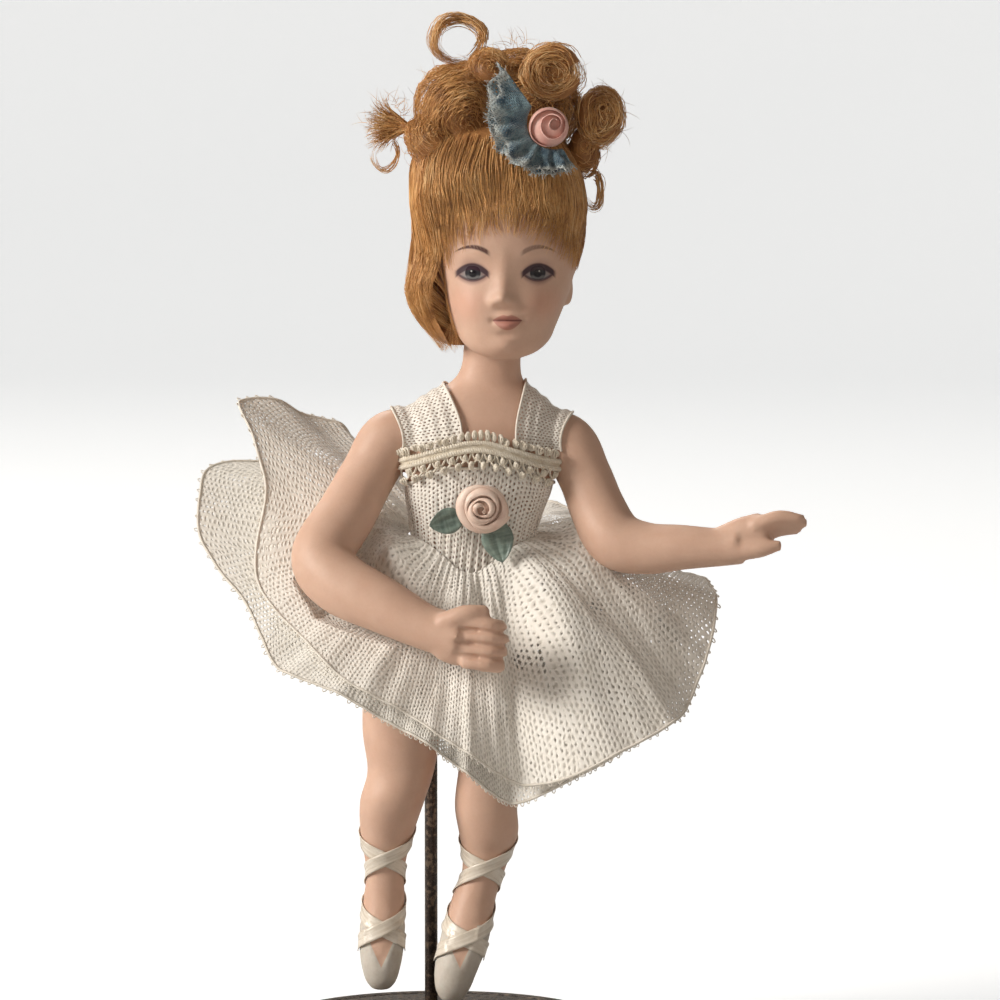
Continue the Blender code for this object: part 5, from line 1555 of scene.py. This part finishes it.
for centre, radii, strand, start, turned, hairs in COILS:
    for n in range(hairs):
        round_angle = rng.uniform(0, 2 * math.pi)
        twist = rng.uniform(-2.0, 2.0)
        loose = min(1.0, strand / 2.0)
        first = start + turned * rng.uniform(0.0, 0.12 + 0.5 * loose)
        reach = turned * rng.uniform(0.85 - 0.5 * loose, 0.88)
        size = strand * rng.uniform(0.6, 1.18)
        aside, lower = rng.gauss(0, 0.55 * loose), rng.gauss(0, 0.55 * loose)
        slant, squash = rng.gauss(0, 0.35), rng.uniform(1 - 0.45 * loose, 1.06)
        seed = rng.uniform(0, 1)
        hair = []
        for k in range(15):
            f = k / 14
            turn, roll = math.radians(first + reach * f), round_angle + twist * f
            out = size * math.cos(roll)
            spot = place(
                centre[0] + aside + (radii[0] * squash + out) * math.cos(turn),
                centre[1] + size * math.sin(roll) + slant * radii[0] * math.cos(turn),
                centre[2] + lower + (radii[1] * squash + out) * math.sin(turn),
            )
            hair.append(spot + frizz(spot, 0.0013, seed))
        curl_hairs.append((hair, tapered(15, HAIR_THICKNESS), 0.2 + 0.8 * rng.random()))

curl_piece = piece("curled_hair", corded(curl_hairs, 3, mohair), mohair, "mohair")

# The frayed tuft at her right and the loose hairs that stand off all over
loose_hairs = []
for n in range(420):
    angle = math.radians(rng.uniform(142, 212))
    length = rng.uniform(5.6, 9.0)
    start = Vector((-6.0, -0.6 + rng.uniform(-0.7, 0.7), 175.4 + rng.uniform(-0.6, 0.6)))
    bend = rng.uniform(-0.3, 0.3)
    hair = []
    for k in range(9):
        f = k / 8
        way = angle + bend * f * f
        spot = place(*(start + Vector((math.cos(way), rng.uniform(-0.05, 0.05), math.sin(way))) * length * f))
        hair.append(spot + frizz(spot, 0.0012 * f, n))
    loose_hairs.append((hair, tapered(9, HAIR_THICKNESS), rng.random()))
for n in range(520):
    centre, radii = rng.choice(CURLS)
    way = Vector((rng.gauss(0, 1), rng.gauss(0, 1), rng.gauss(0.3, 1))).normalized()
    spot = Vector([c + r * w for c, r, w in zip(centre, radii, way)])
    heading = (way + Vector((rng.gauss(0, 0.7), rng.gauss(0, 0.7), rng.gauss(0, 0.7)))).normalized()
    swing = Vector((rng.gauss(0, 0.7), rng.gauss(0, 0.7), rng.gauss(0, 0.7)))
    hair = []
    for k in range(10):
        hair.append(place(*spot))
        spot = spot + heading * 0.42
        heading = (heading + swing * 0.3).normalized()
    loose_hairs.append((hair, tapered(10, 0.6 * HAIR_THICKNESS), rng.random()))
loose_piece = piece("loose_hair", corded(loose_hairs, 3, mohair), mohair, "mohair")

# The bust braid
# Ivory picot braid: two twisted cords with a net between them, loops above and scallops below,
# sewn across the bust from one side to the other.

BRAID_END = 76
ivory_cord = thread("ivory_cord", (0.62, 0.52, 0.38), (0.90, 0.85, 0.75), 0.6)


def on_braid(share, up, lift):
    """A point of the braid from its right end at 0 to its left end at 1; up is in steps."""
    azimuth = BRAID_END * (2 * share - 1)
    return on_torso(azimuth, braid_middle(azimuth) + up, lift)


PICOTS = 23
SCALLOPS = 12
paths = []
for middle in (-0.75, 0.75):
    for strand in (0.0, math.pi):
        path = []
        for i in range(321):
            turn = 2 * math.pi * 34 * i / 320 + strand
            path.append(on_braid(i / 320, middle + 0.26 * math.cos(turn), 0.0020 + 0.00026 * math.sin(turn)))
        paths.append((path, 0.00031, 0.62))
for strand in range(3):
    path = []
    for i in range(281):
        turn = 2 * math.pi * (26 * i / 280 + strand / 3)
        path.append(on_braid(i / 280, 0.9 * math.sin(turn), 0.0016 + 0.0002 * math.cos(2 * turn)))
    paths.append((path, 0.00028, 0.30))


def picot(middle, up, size, strands):
    """A small fluffy loop of two or three strands of thread; up and size are in steps."""
    for strand in range(strands):
        grow = size * (1 - 0.28 * strand)
        tilt = 0.5 * noise.noise((middle * 31, up, strand))
        loop = [
            on_braid(
                min(1.0, max(0.0, middle + grow * (0.0125 * math.sin(t) + 0.006 * tilt))),
                up - grow * 0.85 * math.cos(t), 0.0018 + 0.0004 * strand + 0.0003 * math.sin(t / 2),
            )
            for t in (2 * math.pi * s / 9 for s in range(10))
        ]
        paths.append((loop, 0.00024, 0.95 - 0.2 * strand))


for k in range(PICOTS):
    sway = noise.noise((k * 1.7, 3.0, 0.0))
    picot((k + 0.5 + 0.5 * sway) / PICOTS, 2.2 + 0.8 * sway, 1.0 + 0.6 * noise.noise((k * 2.3, 9.0, 0.0)), 3)
for k in range(SCALLOPS):
    for half, drop, width in ((0.0, 2.3, 0.040), (0.5, 1.6, 0.034)):
        middle = (k + 0.5 + half) / (SCALLOPS + 0.5)
        path = []
        for s in range(13):
            turn = math.pi * s / 12
            path.append(on_braid(
                min(1.0, max(0.0, middle - width * math.cos(turn))), -1.1 - drop * math.sin(turn), 0.0018,
            ))
        paths.append((path, 0.00022, 0.7))
    picot((k + 0.5) / (SCALLOPS + 0.5), -3.7, 0.85, 3)
    picot(min(1.0, (k + 1.0) / (SCALLOPS + 0.5)), -2.0, 0.6, 2)
braid = piece("picot_braid", corded(paths, 6, ivory_cord), ivory_cord, "ivory_braid", "bust_braid")

# The waist rose and its leaves
# Pale peach satin ribbon wound into a rose with its edge folded out, on two teal satin leaves, all
# sewn to the front of the bodice.

rose_low, rose_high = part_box("waist_rose")
bud_low, bud_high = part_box("hair_rose")
blush_satin = satin("blush_satin_ribbon", (0.74, 0.50, 0.40), (0.92, 0.76, 0.65), 0.34)
bud_satin = satin("bud_satin", (0.62, 0.26, 0.22), (0.84, 0.58, 0.50), 0.34)
leaf_satin = satin("leaf_satin_ribbon", (0.085, 0.135, 0.12), (0.31, 0.39, 0.33), 0.32)
SATIN_THICKNESS = 0.00014


def wound_rose(low, high, turns, core, lip_size, closing, seed, heart=(0.0, 0.0)):
    """Ribbon wound from its heart outward inside a box; closing pulls the lips in like a bud's."""
    middle = (low + high) / 2
    radius = (high.x - low.x) / 2
    depth = high.y - low.y
    columns = int(90 * turns)
    rows = [[] for k in range(10)]
    for i in range(columns):
        t = i / (columns - 1)
        turn = 2 * math.pi * turns * t
        petal = 0.5 + 0.5 * math.cos(1.62 * turn + seed)
        base = radius * (core + (1.0 - core - 0.72 * lip_size) * t ** 1.05)
        base *= 1 + 0.11 * noise.noise((0.75 * turn, seed, 5.0))
        rim = depth * (0.97 - 0.52 * t ** 1.4) * (0.84 + 0.16 * petal)
        lip = radius * lip_size * (0.30 + 0.80 * petal) * (0.4 + 0.6 * t) * (1 - closing)
        aside = [radius * share * (1 - t) for share in heart]
        lean = radius * 0.16 * closing * t
        for k in range(10):
            s = k / 9
            rise = min(1.0, s / 0.66)
            fold = max(0.0, (s - 0.66) / 0.34)
            out = base * (0.86 + 0.14 * rise) - lean * rise * rise + lip * math.sin(fold * 2.0)
            up = rim * math.sin(rise * math.pi / 2) ** 0.8 - lip * 0.75 * (1 - math.cos(fold * 2.2))
            out += 0.00006 * noise.noise((turn * 2.2, s * 3, seed))
            rows[k].append(Vector((
                middle.x + aside[0] + out * math.sin(turn + seed),
                high.y - max(up, 0.00005),
                middle.z + aside[1] - out * math.cos(turn + seed),
            )))
    return thickened(sheet_of(rows, (radius * 2 * math.pi * turns * 0.6, 0.006)), SATIN_THICKNESS)


def rose_back(low, high, share):
    """The gathered back of a rose, a low dome that closes it behind."""
    middle = (low + high) / 2
    radius = share * (high.x - low.x) / 2
    rings = []
    for k in range(8):
        tilt = math.pi / 2 * k / 8
        rings.append([
            Vector((
                middle.x + radius * math.cos(tilt) * math.sin(a),
                high.y - 0.0004 - 0.5 * (high.y - low.y) * math.sin(tilt),
                middle.z - radius * math.cos(tilt) * math.cos(a),
            ))
            for a in (2 * math.pi * i / 40 for i in range(40))
        ])
    return as_mesh(loft(rings))


rose = wound_rose(rose_low, rose_high, 4.1, 0.06, 0.27, 0.0, 0.6, (-0.12, -0.04))
rose = joined(rose, rose_back(rose_low, rose_high, 0.76))
piece("ribbon_rose", rose, blush_satin, "blush_satin", "waist_rose")


def leaf(at, turn, length, width):
    """A leaf folded along its middle, from its base towards an angle clockwise from straight up."""
    along = Vector((math.sin(math.radians(turn)), 0.0, math.cos(math.radians(turn))))
    beside = Vector((along.z, 0.0, -along.x))
    rows = []
    for k in range(15):
        s = k / 14
        half = width / 2 * math.sin(math.pi * min(1.0, 0.06 + 0.94 * s) ** 0.82) ** 0.75
        row = []
        for i in range(11):
            c = 2 * i / 10 - 1
            cup = 0.0006 * abs(c) ** 1.5 * math.sin(math.pi * s) + 0.0009 * s ** 3
            cup += 0.00022 * math.cos(9 * c + 3 * s) * math.sin(math.pi * s)
            cup += 0.0002 * noise.noise((5 * s, 3 * c, turn))
            row.append(at + along * length * s + beside * half * c - Vector((0.0, cup, 0.0)))
        rows.append(row)
    return thickened(sheet_of(rows, (width, length)), SATIN_THICKNESS)


for name, turn, length, width, x, z in (
    ("leaf_right", -104, 0.0066, 0.0052, 4.4, 98.3),
    ("leaf_left", 168, 0.0082, 0.0064, 10.8, 97.4),
):
    leaf_low, leaf_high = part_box(name)
    at = Vector((x * STEP, leaf_high.y - 0.0002, place(0, 0, z).z))
    piece("satin_" + name, leaf(at, turn, length, width), leaf_satin, "leaf_satin", name)

# The hair ornament
# A crumpled strip of blue lace with a frayed pale edge, pinned into the hair round a pink satin
# rosebud.

RUFFLE_WIDTH = 0.0058
ROSE_AT = ((bud_low.x + bud_high.x) / 2 / STEP, ((bud_low.z + bud_high.z) / 2 - TOE_HEIGHT) / STEP)

lace, tree, shader = material("blue_lace", {
    "Roughness": 0.72, "Sheen Weight": 0.5, "Sheen Roughness": 0.4, "Specular IOR Level": 0.3,
})
flat = node(tree, "ShaderNodeTexCoord").outputs["UV"]
made = node(tree, "ShaderNodeGroup", node_tree=knit)
tree.links.new(flat, made.inputs["Vector"])
for socket, value in (("Cell", 0.00052), ("Stretch", 1.1), ("Open", 0.26), ("Tight", 0.7), ("Wobble", 0.0004)):
    made.inputs[socket].default_value = value
age = mottled(tree, 330.0, 3.0)
fade = node(tree, "ShaderNodeSeparateXYZ", {0: flat}).outputs[1]
colour = tinted(tree, age["Tone"], (0.035, 0.075, 0.115), (0.22, 0.33, 0.37))
pale = ramp(tree, calc(tree, "MULTIPLY_ADD", age["Tone"], 0.0020, fade), 0.0050, 0.0074)
colour = tinted(tree, pale, colour, (0.50, 0.53, 0.51))
tree.links.new(colour, shader.inputs["Base Color"])
tree.links.new(made.outputs["Thread"], shader.inputs["Alpha"])
relief(tree, shader, made.outputs["Height"], 0.00015)

wig_front = tree_of(wig_mesh)
sheets = []
fringe = []
for layer, (tilt_out, seed) in enumerate(((0.0, 1.0), (1.3, 6.0))):
    rows = []
    for k in range(13):
        f = k / 12
        row = []
        for i in range(161):
            t = i / 160
            turn = math.radians(124 + 184 * t)
            near = 3.7 + 2.6 * (1 - t) ** 3 + 1.2 * t ** 5
            width = (RUFFLE_WIDTH / STEP - layer * 1.0) * (0.95 + 0.85 * (1 - t) ** 2.2 - 0.18 * t)
            wave = math.cos(2 * math.pi * 6.5 * t + 4.5 * noise.noise((t * 4, seed, 0.0)))
            crush = noise.noise((t * 13, f * 2.5, seed + 3))
            crimp = (0.35 + 1.0 * f) * (0.8 * wave + 1.5 * crush)
            sway = 1.3 * f * noise.noise((t * 9, f * 2, seed)) - 0.5
            reach = near + f * width + sway
            x = ROSE_AT[0] + reach * math.cos(turn + 0.06 * crimp)
            z = ROSE_AT[1] - 0.7 + reach * math.sin(turn)
            under = wig_front.ray_cast(place(x, -60.0, z), Vector((0.0, 1.0, 0.0)))[0]
            laid = min(-12.4, under.y / STEP - 1.2) if under else -12.4
            stand = 0.5 * tilt_out + max(0.0, crimp + 0.9) * (0.35 + 0.6 * f) + 0.8 * f * layer
            row.append(place(x, laid - stand, z))
        rows.append(row)
    sheets.append(sheet_of(rows, (0.045, RUFFLE_WIDTH)))
    for n in range(150):
        i = rng.randrange(160)
        tip = rows[-1][i] - rows[-3][i]
        way = (tip.normalized() + Vector((rng.gauss(0, 0.5), rng.gauss(0, 0.5), rng.gauss(0, 0.5)))).normalized()
        size = rng.uniform(0.0003, 0.0011)
        fringe.append(([rows[-1][i], rows[-1][i] + way * size * 0.6, rows[-1][i] + way * size], 0.00006, rng.random()))
ruffle = piece("lace_ruffle", thickened(joined(*sheets), 0.0001), lace, "blue_lace", "hair_ruffle")
frayed = thread("frayed_lace", (0.40, 0.44, 0.44), (0.74, 0.72, 0.66))
fraying = piece("frayed_edge", corded(fringe, 3, frayed), frayed, "blue_lace")

bud = wound_rose(bud_low, bud_high, 2.6, 0.10, 0.12, 0.6, 2.4, (0.26, 0.22))
bud = joined(bud, rose_back(bud_low, bud_high, 0.80))
piece("satin_rosebud", bud, bud_satin, "blush_satin", "hair_rose")

size = {"cad": [list(cad_low), list(cad_high)], "visual": [list(corner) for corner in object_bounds()]}
